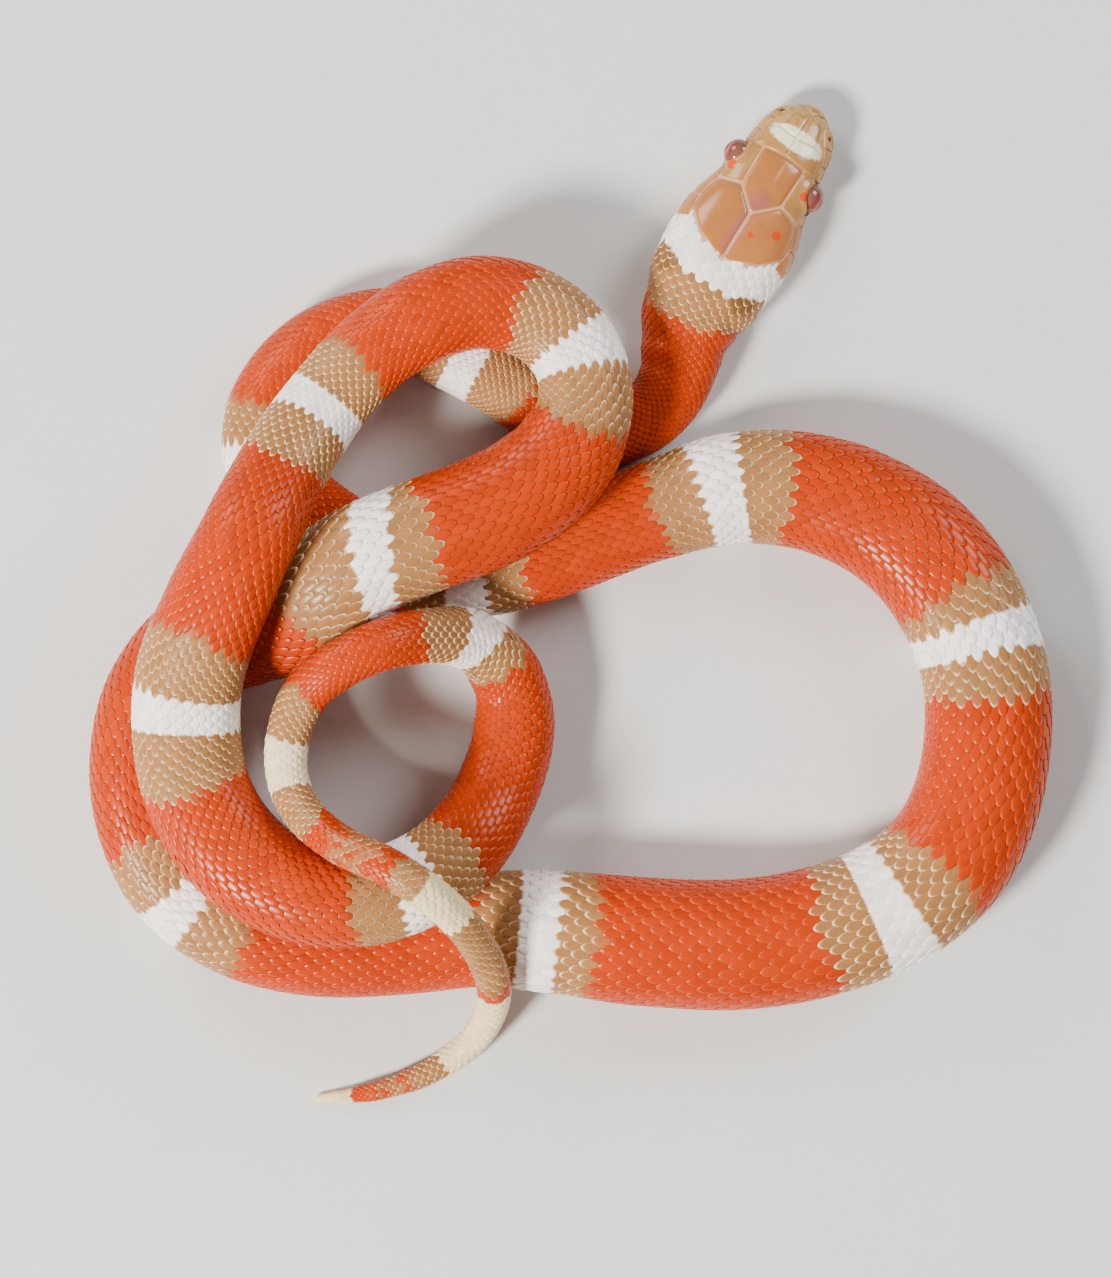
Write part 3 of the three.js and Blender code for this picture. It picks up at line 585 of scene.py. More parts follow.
def stations():
    """Steps along the body: the count grows by dq / pitch, where the pitch is the
    width of a row there times NAPE_PITCH on the neck, PITCH farther back and
    TAIL_PITCH on the tail."""
    step = 0.05
    q = np.arange(14.0, TAIL_TIP, step)
    row = row_table(q)[3]
    share = mix(mix(NAPE_PITCH, PITCH, smooth(q, 28, 110)), TAIL_PITCH, smooth(q, 380, 450))
    pitch = share * row * GIRTH_HALF * np.interp(q, ROUTE_Q, ROUTE[:, 9])
    count = np.concatenate([[0], np.cumsum(step / ((pitch[1:] + pitch[:-1]) / 2))])
    return q, count, pitch


STATION_Q, STATION_COUNT, STATION_PITCH = stations()


def stretch(q, angle):
    """How much longer the surface is there than the middle line."""
    step = 0.3
    ahead = surface(np.clip(q - step, 0, TAIL_TIP), angle)
    behind = surface(np.clip(q + step, 0, TAIL_TIP), angle)
    return np.linalg.norm(behind - ahead, axis=-1) / (2 * step)


def back_scales(material):
    """Rows of scales over the back and sides. Every second row is half a step
    farther on. A scale's length along the middle line is divided by √stretch, so
    that scales grow by no more than √stretch on the outside of a bend."""
    columns = []
    steps = np.arange(0, STATION_COUNT[-1], 1.0)
    for parity in (0, 1):
        q = np.interp(steps + 0.5 * parity, STATION_COUNT, STATION_Q)
        rows, centre, weight, row = row_table(q)
        pitch = np.interp(q, STATION_Q, STATION_PITCH)
        for r in np.flatnonzero(rows % 2 == parity):
            begun = q > np.interp(np.abs(centre[r]), *PLATES_END)
            keep = (weight[r] > 0.35) & begun & (q < TAIL_TIP - TIP_LONG + 0.5)
            wide = row * SCALE_WIDE * np.sqrt(weight[r])
            columns.append(np.stack([q, centre[r], pitch * SCALE_LONG, wide])[:, keep])
    q, g, long, wide = np.concatenate(columns, axis=1)
    long = long / np.sqrt(np.clip(stretch(q, angle_of(g)), 0.3, 2.2))
    order = np.argsort(q)
    for k in range(0, len(q), PER_PIECE):
        pick = order[k:k + PER_PIECE]
        name = "back_scales_%d" % (k // PER_PIECE + 1)
        place_scales(name, q[pick], g[pick], long[pick], wide[pick], material, 11 + k)


def throat_scales(material):
    """Small scales under the jaw, in nine staggered rows between the chin plates
    and the first belly scute."""
    columns = []
    for row in range(-4, 5):
        q = np.arange(THROAT_START + THROAT_STEP / 2 * (row % 2), THROAT_END + 0.6, THROAT_STEP)
        e = np.full(len(q), row / 4.4)
        beside = np.abs(head_outline(q, under_angle(e))[:, 1]) > CHIN_PLATES_REACH
        clear = (q > CHIN_PLATES_END) | beside
        columns.append(np.stack([q, e])[:, clear])
    q, e = np.concatenate(columns, axis=1)
    long, wide = np.full(len(q), THROAT_LONG), np.full(len(q), THROAT_WIDE)
    place_scales("throat_scales", q, -e, long, wide, material, 7,
                 at=lambda g: under_angle(-g), side=BELLY_SIDE, least=0)


def row_of_scutes(name, q, lo, hi, columns, least, material):
    """Scutes from the share lo to the share hi of half the belly. Each is a grid,
    a back and b across. It runs from 0.6 steps before its place to 0.8 behind it,
    less at the ends of its rear edge by (2b - 1)⁴, and rises by a, so that its
    front is under the scute before. Its rim is sunk, and so are its outer ends."""
    across = np.concatenate([[0, 0.02], np.linspace(0.08, 0.92, columns), [0.98, 1]])
    a, b = grid(SCUTE_BACK, across)
    e = lo + (hi - lo) * b
    behind = 1.4 * a - 0.6 - 0.18 * (2 * b - 1) ** 4 * (a > 0.5) * a
    rim = (a < 0.01) | (a > 0.99) | (b < 0.01) | (b > 0.99)
    step = np.interp(q, STATION_Q, STATION_PITCH)[:, None, None]
    place = np.minimum(q[:, None, None] + behind * step, TAIL_TIP - 0.1)
    height = (SCUTE_RISE * a - SCUTE_BASE - SCUTE_SINK * rim) * np.clip(step / 2, 0.3, 1)
    height = height + 0.03 - 0.05 * np.maximum(0, np.abs(e) - 0.9)
    below = np.broadcast_to(under_angle(e), place.shape)
    corners = on_skin(place, below, height, least + 0.06 * (1 - a))
    a, b, q = a.ravel(), b.ravel(), q[:, None]
    rng = np.random.default_rng(5)
    root = q + rng.uniform(-0.3, 0.3, q.shape)
    white, tan, cream = markings(q, root, 1.0, under_angle(e).ravel(), rng.random(q.shape))
    values = {"tone": rng.random(q.shape), "tan": tan, "cream": cream, "side": np.array(BELLY_SIDE),
              "white": white, "along": 2 * a - 1, "across": (2 * b - 1) * 0.6}
    patch = np.stack([a - 0.5, b - 0.5], axis=-1) * PATCH + unwrap(q, under_angle((lo + hi) / 2))
    make_scales(name, corners, grid_faces(len(SCUTE_BACK), len(across)), values, patch, material)


def belly_scutes(material):
    """Broad scutes across the belly, and from the vent in pairs under the tail,
    where they meet with a small lap and the left one is a little higher."""
    first = np.ceil(np.interp(THROAT_END, STATION_Q, STATION_COUNT))
    q = np.interp(np.arange(first, STATION_COUNT[-1] - 0.5, 1.0), STATION_COUNT, STATION_Q)
    body, tail = q[q < VENT], q[q >= VENT]
    row_of_scutes("belly_scutes", body, -SCUTE_REACH, SCUTE_REACH, 18, 0, material)
    row_of_scutes("tail_scutes_right", tail, -TAIL_LAP, SCUTE_REACH, 10, 0, material)
    row_of_scutes("tail_scutes_left", tail, -SCUTE_REACH, TAIL_LAP, 10, 0.02, material)


# The skin
def tip_depth(q):
    """The skin comes up to the surface over the last millimetre and a half."""
    return SKIN_DEPTH * (1 - np.minimum(1, (TAIL_TIP - q) / 1.5))


def nostril_pit(point):
    """1 in the middle of a nostril, a bell on the distance seen from the side."""
    return bell(np.hypot(point[..., 0] - NOSTRIL_U, point[..., 2] - NOSTRIL_UP), 0, NOSTRIL_R)


def mouth_line(q, angle):
    """1 on the line where the lips meet, a bell LIP_WIDE wide on the height over it."""
    z = head_outline(np.clip(q, 0, HEAD_LENGTH), angle)[..., 2]
    return bell(z, follow(MOUTH, q), LIP_WIDE) * (q < MOUTH_END) * (np.sin(angle) > -0.99)


def skin(material):
    """One closed skin from the snout to the tip of the tail: rings of the surface
    sunk by the skin's depth, with a groove along the mouth and two nostril pits,
    closed by a point at each end."""
    head_rings = np.linspace(0.05, HEAD_LENGTH, HEAD_RINGS)
    q = np.append(head_rings, np.arange(HEAD_LENGTH + RING_STEP, TAIL_TIP - 0.2, RING_STEP))
    qq, aa = grid(q, np.linspace(0, 2 * math.pi, SKIN_AROUND, endpoint=False))
    lips, nostril = mouth_line(qq, aa), nostril_pit(head_outline(np.clip(qq, 0, HEAD_LENGTH), aa))
    rings = on_skin(qq, aa, tip_depth(qq) - LIP_DEPTH * lips - NOSTRIL_DEPTH * nostril)
    corners = np.vstack([rings.reshape(-1, 3), rings[0].mean(axis=0), rings[-1].mean(axis=0)])
    side = np.where(np.sin(aa) < math.sin(BELLY_EDGE), BELLY_SIDE, np.abs(belly_share(aa)))
    white, tan, cream = markings(qq, qq, side, aa)
    # each value on the rings, then at the snout and at the tip
    grids = {
        "white": (white, 0, 1), "tan": (tan, 1, 1), "cream": (cream, 0, 1), "side": (side, 0, 0),
        # lips carries where painted shade darkens the mouth line and the nostrils
        "head": (1 - smooth(qq, 17.2, 19.0), 1, 0), "lips": (np.maximum(lips, nostril), 0, 0),
    }
    values = {key: np.append(column, ends) for key, (column, *ends) in grids.items()}
    piece = make_piece("skin", corners, tube_faces(len(q), SKIN_AROUND), values,
                       {"OFBake": skin_map(q)}, material)
    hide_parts("head", "lower_jaw", "neck", *["body_%02d" % i for i in range(1, 18)],
                *["tail_%02d" % i for i in range(1, 6)])


def skin_map(q):
    """The skin's squares on the map, each in the strip of its own middle, and the
    fans of its two ends on a small triangle in two corners of the map."""
    place, turn = strip_place(q), np.arange(SKIN_AROUND + 1) / SKIN_AROUND
    strip = np.floor((place[:-1] + place[1:]) / 2)[:, None]
    ahead, behind, left, right = place[:-1, None], place[1:, None], turn[:-1], turn[1:]
    corners = ((ahead, left), (ahead, right), (behind, right), (behind, left))
    squares = np.stack([on_map(ring, strip, column) for ring, column in corners], axis=2)
    fan = np.array([(0.003, 0.003), (0.005, 0.003), (0.003, 0.005)]) + np.zeros((SKIN_AROUND, 1, 1))
    return [squares, fan, fan + 0.985]


def tail_tip(material):
    """The horny end of the tail: rings a little over the skin, drawn in to a round
    end by √(1 - 0.97 t²), and closed by a point in front and behind."""
    q = TAIL_TIP - TIP_LONG * TIP_RINGS
    qq, aa = grid(q, np.linspace(0, 2 * math.pi, TIP_AROUND, endpoint=False))
    begin = TAIL_TIP - TIP_LONG
    lift = tip_depth(qq) + 0.15 * smooth(qq, begin, begin + 0.25 * TIP_LONG) - 0.02
    rings = on_skin(qq, aa, lift)
    middle = rings.mean(axis=1, keepdims=True)
    t = np.clip((q - TAIL_TIP) / TIP_ROUND + 1, 0, 1)
    rings = middle + (rings - middle) * np.sqrt(1 - 0.97 * t**2)[:, None, None]
    corners = np.vstack([rings.reshape(-1, 3), middle[0], middle[-1]])
    plain = {"white": 1, "tan": 1, "cream": 1, "side": 0, "along": 0, "across": 0, "tone": 0.5}
    values = {key: np.full(len(corners), float(level)) for key, level in plain.items()}
    spread = np.stack([(qq - begin) / TIP_LONG, aa / (2 * math.pi)], axis=-1).reshape(-1, 2)
    patch = unwrap(q[:1], 0) + PATCH * np.vstack([spread, np.zeros((2, 2))])
    make_piece("tail_tip", corners, tube_faces(len(q), TIP_AROUND), values,
               {"OFBake": patch}, material)


# Places on the head, by the two numbers in which a plate is drawn
HALVINGS = 24


def halve(lo, hi, beyond):
    """Where beyond begins to hold between lo and hi, by halving again and again."""
    for _ in range(HALVINGS):
        middle = (lo + hi) / 2
        past = beyond(middle)
        lo, hi = np.where(past, lo, middle), np.where(past, middle, hi)
    return lo


def top_place(u, v):
    """From above: the angle from the left side on at which the outline is v to the
    right."""
    def farther_right(angle):
        return head_outline(u, angle)[..., 1] > v
    return head_outline(u, halve(np.full_like(u, math.pi), np.zeros_like(u), farther_right))


def side_place(u, z):
    """From the right: the angle from below on at which the outline is z high."""
    def higher(angle):
        return head_outline(u, angle)[..., 2] > z
    low, high = np.full_like(u, math.radians(-66)), np.full_like(u, math.radians(88))
    return head_outline(u, halve(low, high, higher))


def under_place(u, v):
    """From below: the cosine of the angle is (v / half the width) to the power
    1 / UNDERSIDE, the other way round from the outline."""
    share = np.clip(v / follow(HALF_WIDTH, u), -1, 1)
    return head_outline(u, -np.arccos(np.sign(share) * np.abs(share) ** (1 / UNDERSIDE)))


def front_place(v, z):
    """From the front: u is where the outline first takes in (v, z), with the sine
    of the angle from z by the outline's powers, and the middle of the snout bulges
    forward by (1 - r²)²."""
    def takes_in(u):
        half, widest, crown, chin = head_sizes(u)
        high = np.where(z > widest, (z - widest) / (crown - widest), 0) ** (1 / CREST)
        low = np.where(z < widest, (widest - z) / (widest - chin), 0) ** (1 / chin_power(u)) * BELLY_CUT
        sine = np.clip(high + low, 0, 1)
        reach = half * np.maximum((1 - sine * sine) ** (SHOULDER / 2), 1e-6)
        return (np.abs(v) < reach) & (z < crown) & (z > chin)
    u = halve(np.zeros_like(v), np.full_like(v, 4.0), takes_in)
    r = np.hypot(v / 1.9, (z - 2.4) / 1.5)
    return np.stack([u - SNOUT_BULGE * np.maximum(0, 1 - r * r) ** 2, v, z], axis=-1)


VIEWS = {"top": top_place, "under": under_place, "front": front_place,
         "right": side_place, "left": side_place}


def eye_rim(point):
    """A low ridge round each eye, a bell on the distance to a circle about it."""
    eye = np.array([EYE_U, EYE_SIDE, EYE_UP])
    right = np.stack([point[..., 0], np.abs(point[..., 1]), point[..., 2]], axis=-1)
    return 0.22 * bell(np.linalg.norm(right - eye, axis=-1), EYE_R + 0.2, 0.28)


# The plates of the head
def soft_outline(corners, round_off, count=48):
    """A closed outline with its corners rounded: evenly spaced points on the
    polygon are averaged with their neighbours, and then drawn in by half a seam."""
    corners = np.array(corners, float)
    x, y = corners.T
    if np.sum(x * np.roll(y, -1) - np.roll(x, -1) * y) < 0:
        corners = corners[::-1]
    loop = np.vstack([corners, corners[:1]])
    length = np.concatenate([[0], np.cumsum(np.linalg.norm(np.diff(loop, axis=0), axis=1))])
    finer = 10
    at = np.linspace(0, length[-1], finer * count, endpoint=False)
    fine = np.stack([np.interp(at, length, column) for column in loop.T], axis=1)
    reach = max(1, int(round_off / length[-1] * finer * count))
    fine = sum(np.roll(fine, k, axis=0) for k in range(-reach, reach + 1)) / (2 * reach + 1)
    tangent = unit(np.roll(fine, -1, axis=0) - np.roll(fine, 1, axis=0))
    fine = fine + np.stack([-tangent[:, 1], tangent[:, 0]], axis=1) * PLATE_SEAM / 2
    return fine[::finer]


def mirrored(corners):
    """The same plate on the left of the head."""
    return [(u, -v) for u, v in corners]


def labials(side):
    """The plates along the lips, four corners each, in pairs over and under the
    line of the mouth. The one under the eye is lower."""
    plates = []
    for a, b in zip(LABIALS, LABIALS[1:]):
        tall = UNDER_EYE_TALL if abs((a + b) / 2 - EYE_U) < 1.8 else LABIAL_TALL
        front, rear = follow(MOUTH, a), follow(MOUTH, b)
        deep_front, deep_rear = (min(LABIAL_DEEP, level - CHIN_GAP) for level in (front, rear))
        upper = [(a, front + LIP_GAP), (a, front + tall), (b, rear + tall), (b, rear + LIP_GAP)]
        lower = [(a, front - deep_front), (a, front - LIP_GAP), (b, rear - LIP_GAP), (b, rear - deep_rear)]
        plates += [(upper, side, 0.2), (lower, side, 0.2)]
    return plates


def plate_list():
    """Every plate as its corners, the view it is drawn in, and how round its
    corners are."""
    plates = [(FRONTAL, "top", 0.3), (ROSTRAL, "front", 0.3), (MENTAL, "under", 0.25)]
    for corners in TOP_PLATES:
        plates += [(corners, "top", 0.22), (mirrored(corners), "top", 0.22)]
    for corners in CHIN_PLATES:
        plates += [(corners, "under", 0.3), (mirrored(corners), "under", 0.3)]
    for side in ("right", "left"):
        plates += [(corners, side, 0.16) for corners in SIDE_PLATES]
        plates += labials(side)
    return plates


def shell_faces(rings, around):
    """A fan from the middle, which comes first, to the first of the rings, squares
    between the rings, and one face that closes the last ring below."""
    index = 1 + np.arange(rings * around).reshape(rings, around)
    ahead = np.roll(index, -1, axis=1)
    quads = np.stack([index[:-1], index[1:], ahead[1:], ahead[:-1]], axis=-1).reshape(-1, 4)
    fan = np.stack([np.zeros(around, int), index[0], ahead[0]], axis=-1)
    return [quads, fan, index[-1][None, ::-1]]


def plate_shell(corners, view, round_off):
    """A domed shell: rings shrink the outline to its middle, the height over the
    skin is a base plus a dome √(1 - r⁴), and the rim is sunk under the skin. The
    left side is worked out as the right one and mirrored."""
    rim = soft_outline(corners, round_off)
    middle = rim.mean(axis=0)
    flat = np.vstack([middle, (middle + (rim - middle) * PLATE_RINGS[:, None, None]).reshape(-1, 2)])
    r = np.append(0, np.repeat(PLATE_RINGS, len(rim)))
    place, step = VIEWS[view], 0.02
    a, b = flat.T
    point = place(a, b)
    first_way = place(a + step, b) - place(a - step, b)
    other_way = place(a, b + step) - place(a, b - step)
    normal = unit(np.cross(first_way, other_way))
    inside_head = np.array([8.0, 0.0, 3.0])
    inward = np.sum(normal[0] * (point[0] - inside_head)) < 0
    normal = -normal if inward else normal
    pit = nostril_pit(point) * (view in ("right", "left"))
    height = PLATE_BASE + PLATE_DOME * (1 - r**4) ** 0.5 - np.where(r > 0.99, PLATE_SINK, 0)
    height = height + eye_rim(point) - PLATE_PIT_DEPTH * pit
    point = point + normal * (height - HEAD_DEPTH)[:, None]
    faces = shell_faces(len(PLATE_RINGS), len(rim))
    if view == "left":
        point = point * (1, -1, 1)
    if inward ^ (view == "left"):
        faces = [block[:, ::-1] for block in faces]
    point[:, 2] = np.maximum(point[:, 2], 0)
    return point, faces, r, pit


def head_plates(material):
    """All plates of the head in one mesh, each with its own shade. The map takes
    the length of the head and the way round it."""
    rng = np.random.default_rng(3)
    columns, blocks, count = [], [], 0
    for plate in plate_list():
        point, faces, r, pit = plate_shell(*plate)
        turn = np.arctan2(point[:, 1], point[:, 2] - 3) / 7 + 0.5
        spot = 0.02 + 0.9 * np.stack([point[:, 0] / HEAD_LENGTH, turn], axis=1)
        columns.append((head_frame(point), spot, r, pit, np.full(len(r), rng.random())))
        blocks.append([block + count for block in faces])
        count += len(point)
    corners, spot, r, pit, tone = (np.concatenate(column) for column in zip(*columns))
    quads, fans, undersides = (np.concatenate(column) for column in zip(*blocks))
    maps = {"OFBake": [spot[quads], spot[fans], spot[undersides] * 0.03 + 0.96]}
    values = {"along": r, "tone": tone, "pit": pit}
    make_piece("head_plates", corners, [quads, fans, undersides], values, maps, material)


def eyes(material):
    """Two round eyeballs, rings of latitude about the axis that looks outwards,
    with a point at each pole."""
    for name, node, side in (("eyeball_left", "eye_left", -1), ("eyeball_right", "eye_right", 1)):
        polar, turn = grid(np.linspace(0, math.pi, EYE_RINGS + 2)[1:-1],
                           np.linspace(0, 2 * math.pi, EYE_AROUND, endpoint=False))
        wide = np.sin(polar)
        out = np.stack([wide * np.cos(turn), side * np.cos(polar), wide * np.sin(turn)], axis=-1)
        out = np.vstack([out.reshape(-1, 3), [0, side, 0], [0, -side, 0]])
        corners = head_frame(np.array([EYE_U, side * EYE_SIDE, EYE_UP]) + out * (EYE_R - EYE_SLACK))
        faces = tube_faces(*polar.shape)
        if side < 0:
            faces = [block[:, ::-1] for block in faces]
        piece = make_piece(name, corners, faces, {"out": out[:, 1] * side}, {}, material)
        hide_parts(node)


# Shader maths
class Wire:
    """A socket that takes part in sums, so that an expression adds its nodes."""

    def __init__(self, shader, socket):
        self.shader, self.socket = shader, socket

    def maths(self, operation, *terms):
        """A Math node on numbers and wires."""
        return self.shader.node("ShaderNodeMath", {"operation": operation}, dict(enumerate(terms)))

    def __add__(self, other):
        return self.maths("ADD", self, other)

    def __sub__(self, other):
        return self.maths("SUBTRACT", self, other)

    def __rsub__(self, other):
        return self.maths("SUBTRACT", other, self)

    def __mul__(self, other):
        return self.maths("MULTIPLY", self, other)

    def __pow__(self, other):
        return self.maths("POWER", self, other)

    __radd__, __rmul__ = __add__, __mul__

    def most(self, other):
        """The greater of the two."""
        return self.maths("MAXIMUM", self, other)

    def ramp(self, lo, hi):
        """0 below lo, 1 above hi, soft between; falling where lo is over hi."""
        if lo > hi:
            return 1 - self.ramp(hi, lo)
        soft = {"interpolation_type": "SMOOTHSTEP"}
        return self.shader.node("ShaderNodeMapRange", soft, {"Value": self, "From Min": lo, "From Max": hi})


class Finish:
    """A material of one kind of surface, with its nodes."""

    def __init__(self, name):
        self.material = bpy.data.materials.new(name)
        self.material.use_nodes = True
        self.tree = self.material.node_tree
        self.tree.nodes.clear()

    def node(self, kind, settings=None, sockets=None, out=0):
        """Any node: its settings first, then the values or wires of its sockets, by
        name or number. It gives back its first output or the one named out."""
        made = self.tree.nodes.new(kind)
        for key, value in (settings or {}).items():
            setattr(made, key, value)
        for key, value in (sockets or {}).items():
            socket = made.inputs[key] if isinstance(key, int) else next(
                s for s in made.inputs if key in (s.identifier, s.name) and s.enabled)
            if isinstance(value, Wire):
                self.tree.links.new(value.socket, socket)
            else:
                socket.default_value = value
        ways = [s for s in made.outputs if s.enabled and out in (0, s.identifier, s.name)]
        return Wire(self, ways[0]) if ways else None

    def value(self, name):
        """A value that the mesh carries."""
        return self.node("ShaderNodeAttribute", {"attribute_name": name}, out="Fac")

    def blend(self, first, second, share):
        """The first colour where share is 0 and the second where it is 1."""
        return self.node("ShaderNodeMix", {"data_type": "RGBA"},
                         {"Factor_Float": share, "A_Color": first, "B_Color": second}, out="Result_Color")

    def tint(self, colour, gain):
        """A colour times a grey that varies."""
        grey = self.node("ShaderNodeCombineColor", sockets={"Red": gain, "Green": gain, "Blue": gain})
        return self.node("ShaderNodeMix", {"data_type": "RGBA", "blend_type": "MULTIPLY"},
                         {"Factor_Float": 1.0, "A_Color": colour, "B_Color": grey}, out="Result_Color")

    def place(self):
        """The place in the frame of the animal."""
        return self.node("ShaderNodeTexCoord", out="Object")

    def noise(self, size):
        """A cloudy pattern whose patches are size millimetres across."""
        return self.node("ShaderNodeTexNoise",
                         sockets={"Vector": self.place(), "Scale": 1 / (size * MM), "Detail": 3.0})

    def relief(self, height, strength, depth):
        """Fine bumps, depth millimetres deep."""
        return self.node("ShaderNodeBump",
                         sockets={"Strength": strength, "Distance": depth * MM, "Height": height})

    def from_spot(self, u, v, z, long, wide):
        """The distance to a place on the head, in shares of a patch's half sizes,
        which are long along the head, wide across it and 3 mm up and down."""
        spot = head_frame(np.array([[u, v, z]]))[0] * MM
        turn = {"Location": tuple(spot), "Rotation": (0, 0, -HEAD_HEADING),
                "Scale": (wide * MM, long * MM, 3 * MM)}
        local = self.node("ShaderNodeMapping", {"vector_type": "TEXTURE"}, {"Vector": self.place(), **turn})
        return self.node("ShaderNodeVectorMath", {"operation": "LENGTH"}, {"Vector": local}, out="Value")

    def patches(self, spots, edge, core):
        """A mask of patches on the head, 0 outside edge and 1 inside core."""
        mask, *others = (self.from_spot(*spot).ramp(edge, core) for spot in spots)
        for other in others:
            mask = mask.most(other)
        return mask

    def close(self, **sockets):
        """The surface's own shader, with underscores for the blanks of its sockets."""
        names = {key.replace("_", " "): value for key, value in sockets.items()}
        self.node("ShaderNodeOutputMaterial",
                  sockets={"Surface": self.node("ShaderNodeBsdfPrincipled", sockets=names)})
        return self.material


# Colours as linear light
ORANGE, ORANGE_RIM = (0.47, 0.034, 0.000, 1), (0.56, 0.085, 0.006, 1)
TAN, TAN_RIM = (0.34, 0.15, 0.048, 1), (0.84, 0.60, 0.33, 1)
WHITE, WHITE_RIM = (0.96, 0.89, 0.85, 1), (0.95, 0.86, 0.70, 1)
CREAM = (0.82, 0.62, 0.28, 1)
SEAM, SEAM_ROSE = (0.76, 0.50, 0.22, 1), (0.72, 0.38, 0.20, 1)
PLATE, PLATE_ROSE, OCHRE = (0.47, 0.165, 0.042, 1), (0.42, 0.12, 0.10, 1), (0.42, 0.22, 0.060, 1)
LOBE = (0.20, 0.085, 0.022, 1)
BAR = (0.95, 0.88, 0.62, 1)
SPOT = (0.66, 0.055, 0.001, 1)
# Painted shade: a dark colour laid in the mouth line and the nostril pits
HOLLOW_SHADE = (0.16, 0.04, 0.025, 1)
EYE_RED, EYE_ROSE = (0.22, 0.042, 0.032, 1), (0.44, 0.13, 0.08, 1)
EYE_DARK, EYE_RING = (0.05, 0.004, 0.005, 1), (0.20, 0.07, 0.05, 1)
FLOOR_LIGHT, FLOOR_DARK = (0.74, 0.73, 0.71, 1), (0.70, 0.69, 0.67, 1)

# Patches of colour on the head: u, v and z of the middle, half length and half width
LOBE_SPOTS = ((20.3, -4.5, 5.5, 1.7, 1.5), (20.3, 3.9, 5.5, 1.7, 1.5))
FRONT_SPOT = (1.0, 0, 3.5, 7.5, 9)
BROW_SPOTS = ((8.3, 3.9, 5.5, 2.6, 1.6), (8.3, -3.9, 5.5, 2.6, 1.6))
ROSE_SPOTS = ((11.4, 0.2, 6.8, 1.7, 1.3), (14.9, -0.2, 7.3, 2.6, 0.8))
STREAK_SPOT = (7.4, 0.4, 6.2, 1.3, 0.2)
TIP_SPOT = (0.6, 0, 3.5, 2.6, 4.2)
BAR_SPOT = (3.8, 0.15, 4.9, 1.2, 3.1)
ORANGE_SPOTS = (
    (9.2, -4.1, 5.2, 0.5, 0.5), (8.2, 3.7, 5.6, 0.5, 0.5), (13.05, 3.4, 6.3, 0.5, 0.5),
    (14.4, 1.2, 7.1, 0.32, 0.32),
)
CHIN_WHITE = (1.9 * MM, 0.6 * MM)  # the heights between which the chin turns white


def coat_colour(paint, rim):
    """Orange, tan or white by the ring, each with its own paler rim and paler on the
    belly. On the nape the tan has a darker round patch on each side."""
    white, tan, cream, side = (paint.value(name) for name in ("white", "tan", "cream", "side"))
    belly = side.ramp(0.95, 1.25) * 0.45
    orange = paint.blend(paint.blend(ORANGE, WHITE, belly), ORANGE_RIM, rim * 0.6)
    brown = paint.blend(paint.blend(TAN, WHITE, belly), LOBE, paint.patches(LOBE_SPOTS, 1.05, 0.8) * 0.9)
    brown = paint.blend(brown, TAN_RIM, rim)
    pale = paint.blend(paint.blend(WHITE, CREAM, cream * 0.85), WHITE_RIM, rim * 0.6)
    return paint.blend(paint.blend(orange, brown, tan.ramp(0.3, 0.7)), pale, white.ramp(0.41, 0.59))


def scale_finish():
    """Glossy scales. A pale rim follows the outline of each, strongest at its rear
    and gone towards its front."""
    paint = Finish("scales")
    x, y, tone = paint.value("along"), paint.value("across"), paint.value("tone")
    outer = ((x * x + y * y) ** 0.5).ramp(0.70, 0.90)
    rim = outer * (x.ramp(0.45, 0.92) * 0.75 + 0.25) * x.ramp(-0.5, 0.1)
    grain = paint.noise(0.25)
    colour = paint.tint(coat_colour(paint, rim * (0.7 + 0.5 * grain)), 0.84 + 0.2 * tone + 0.14 * grain)
    return paint.close(Base_Color=colour, Roughness=0.2 + 0.12 * grain,
                       Normal=paint.relief(grain, 0.12, 0.06), Specular_IOR_Level=0.18)


def skin_finish():
    """The skin between the scales and, on the head, in the seams of the plates, with painted shade darkening
    the mouth line and the nostril pits.
    """
    paint = Finish("skin")
    body = paint.tint(coat_colour(paint, 0.3), 0.75)
    # painted shade darkens the mouth line and the nostrils
    head = paint.blend(paint.tint(head_colour(paint, 1.0), 0.9), HOLLOW_SHADE, paint.value("lips"))
    fine = paint.noise(0.3)
    return paint.close(Base_Color=paint.blend(body, head, paint.value("head")), Roughness=0.45 + 0.1 * fine,
                       Normal=paint.relief(fine, 0.3, 0.08), Specular_IOR_Level=0.3)


def head_colour(paint, rim):
    """Peach tan with pale seams, ochre over the eyes, rosy patches and a streak in
    the middle, a mottled tip, a cream bar over the snout and four orange spots."""
    cloud, fleck = paint.noise(1.6), paint.noise(0.45)
    front = paint.patches([FRONT_SPOT], 1.1, 0.75)
    golden = front.most(paint.patches(BROW_SPOTS, 1.2, 0.8))
    colour = paint.blend(PLATE, OCHRE, golden * 0.85)
    colour = paint.blend(colour, PLATE_ROSE, paint.patches(ROSE_SPOTS, 1.3, 0.3) * 0.8)
    colour = paint.tint(colour, 0.8 + 0.4 * cloud)
    colour = paint.blend(colour, paint.blend(SEAM_ROSE, SEAM, golden), rim * (1 - 0.7 * front))
    colour = paint.blend(colour, SEAM_ROSE, paint.patches([STREAK_SPOT], 1.3, 0.3) * 0.45)
    tip = paint.patches([TIP_SPOT], 1.15, 0.75)
    colour = paint.blend(colour, SEAM, tip * fleck.ramp(0.35, 0.7) * 0.4)
    bar = paint.from_spot(*BAR_SPOT) + (fleck - 0.5) * 0.3
    colour = paint.blend(colour, BAR, bar.ramp(1.08, 0.86))
    height = paint.node("ShaderNodeSeparateXYZ", sockets={"Vector": paint.place()}, out="Z")
    colour = paint.blend(colour, WHITE, height.ramp(*CHIN_WHITE) * 0.85)
    return paint.blend(colour, SPOT, paint.patches(ORANGE_SPOTS, 1.1, 0.8) * 0.95)


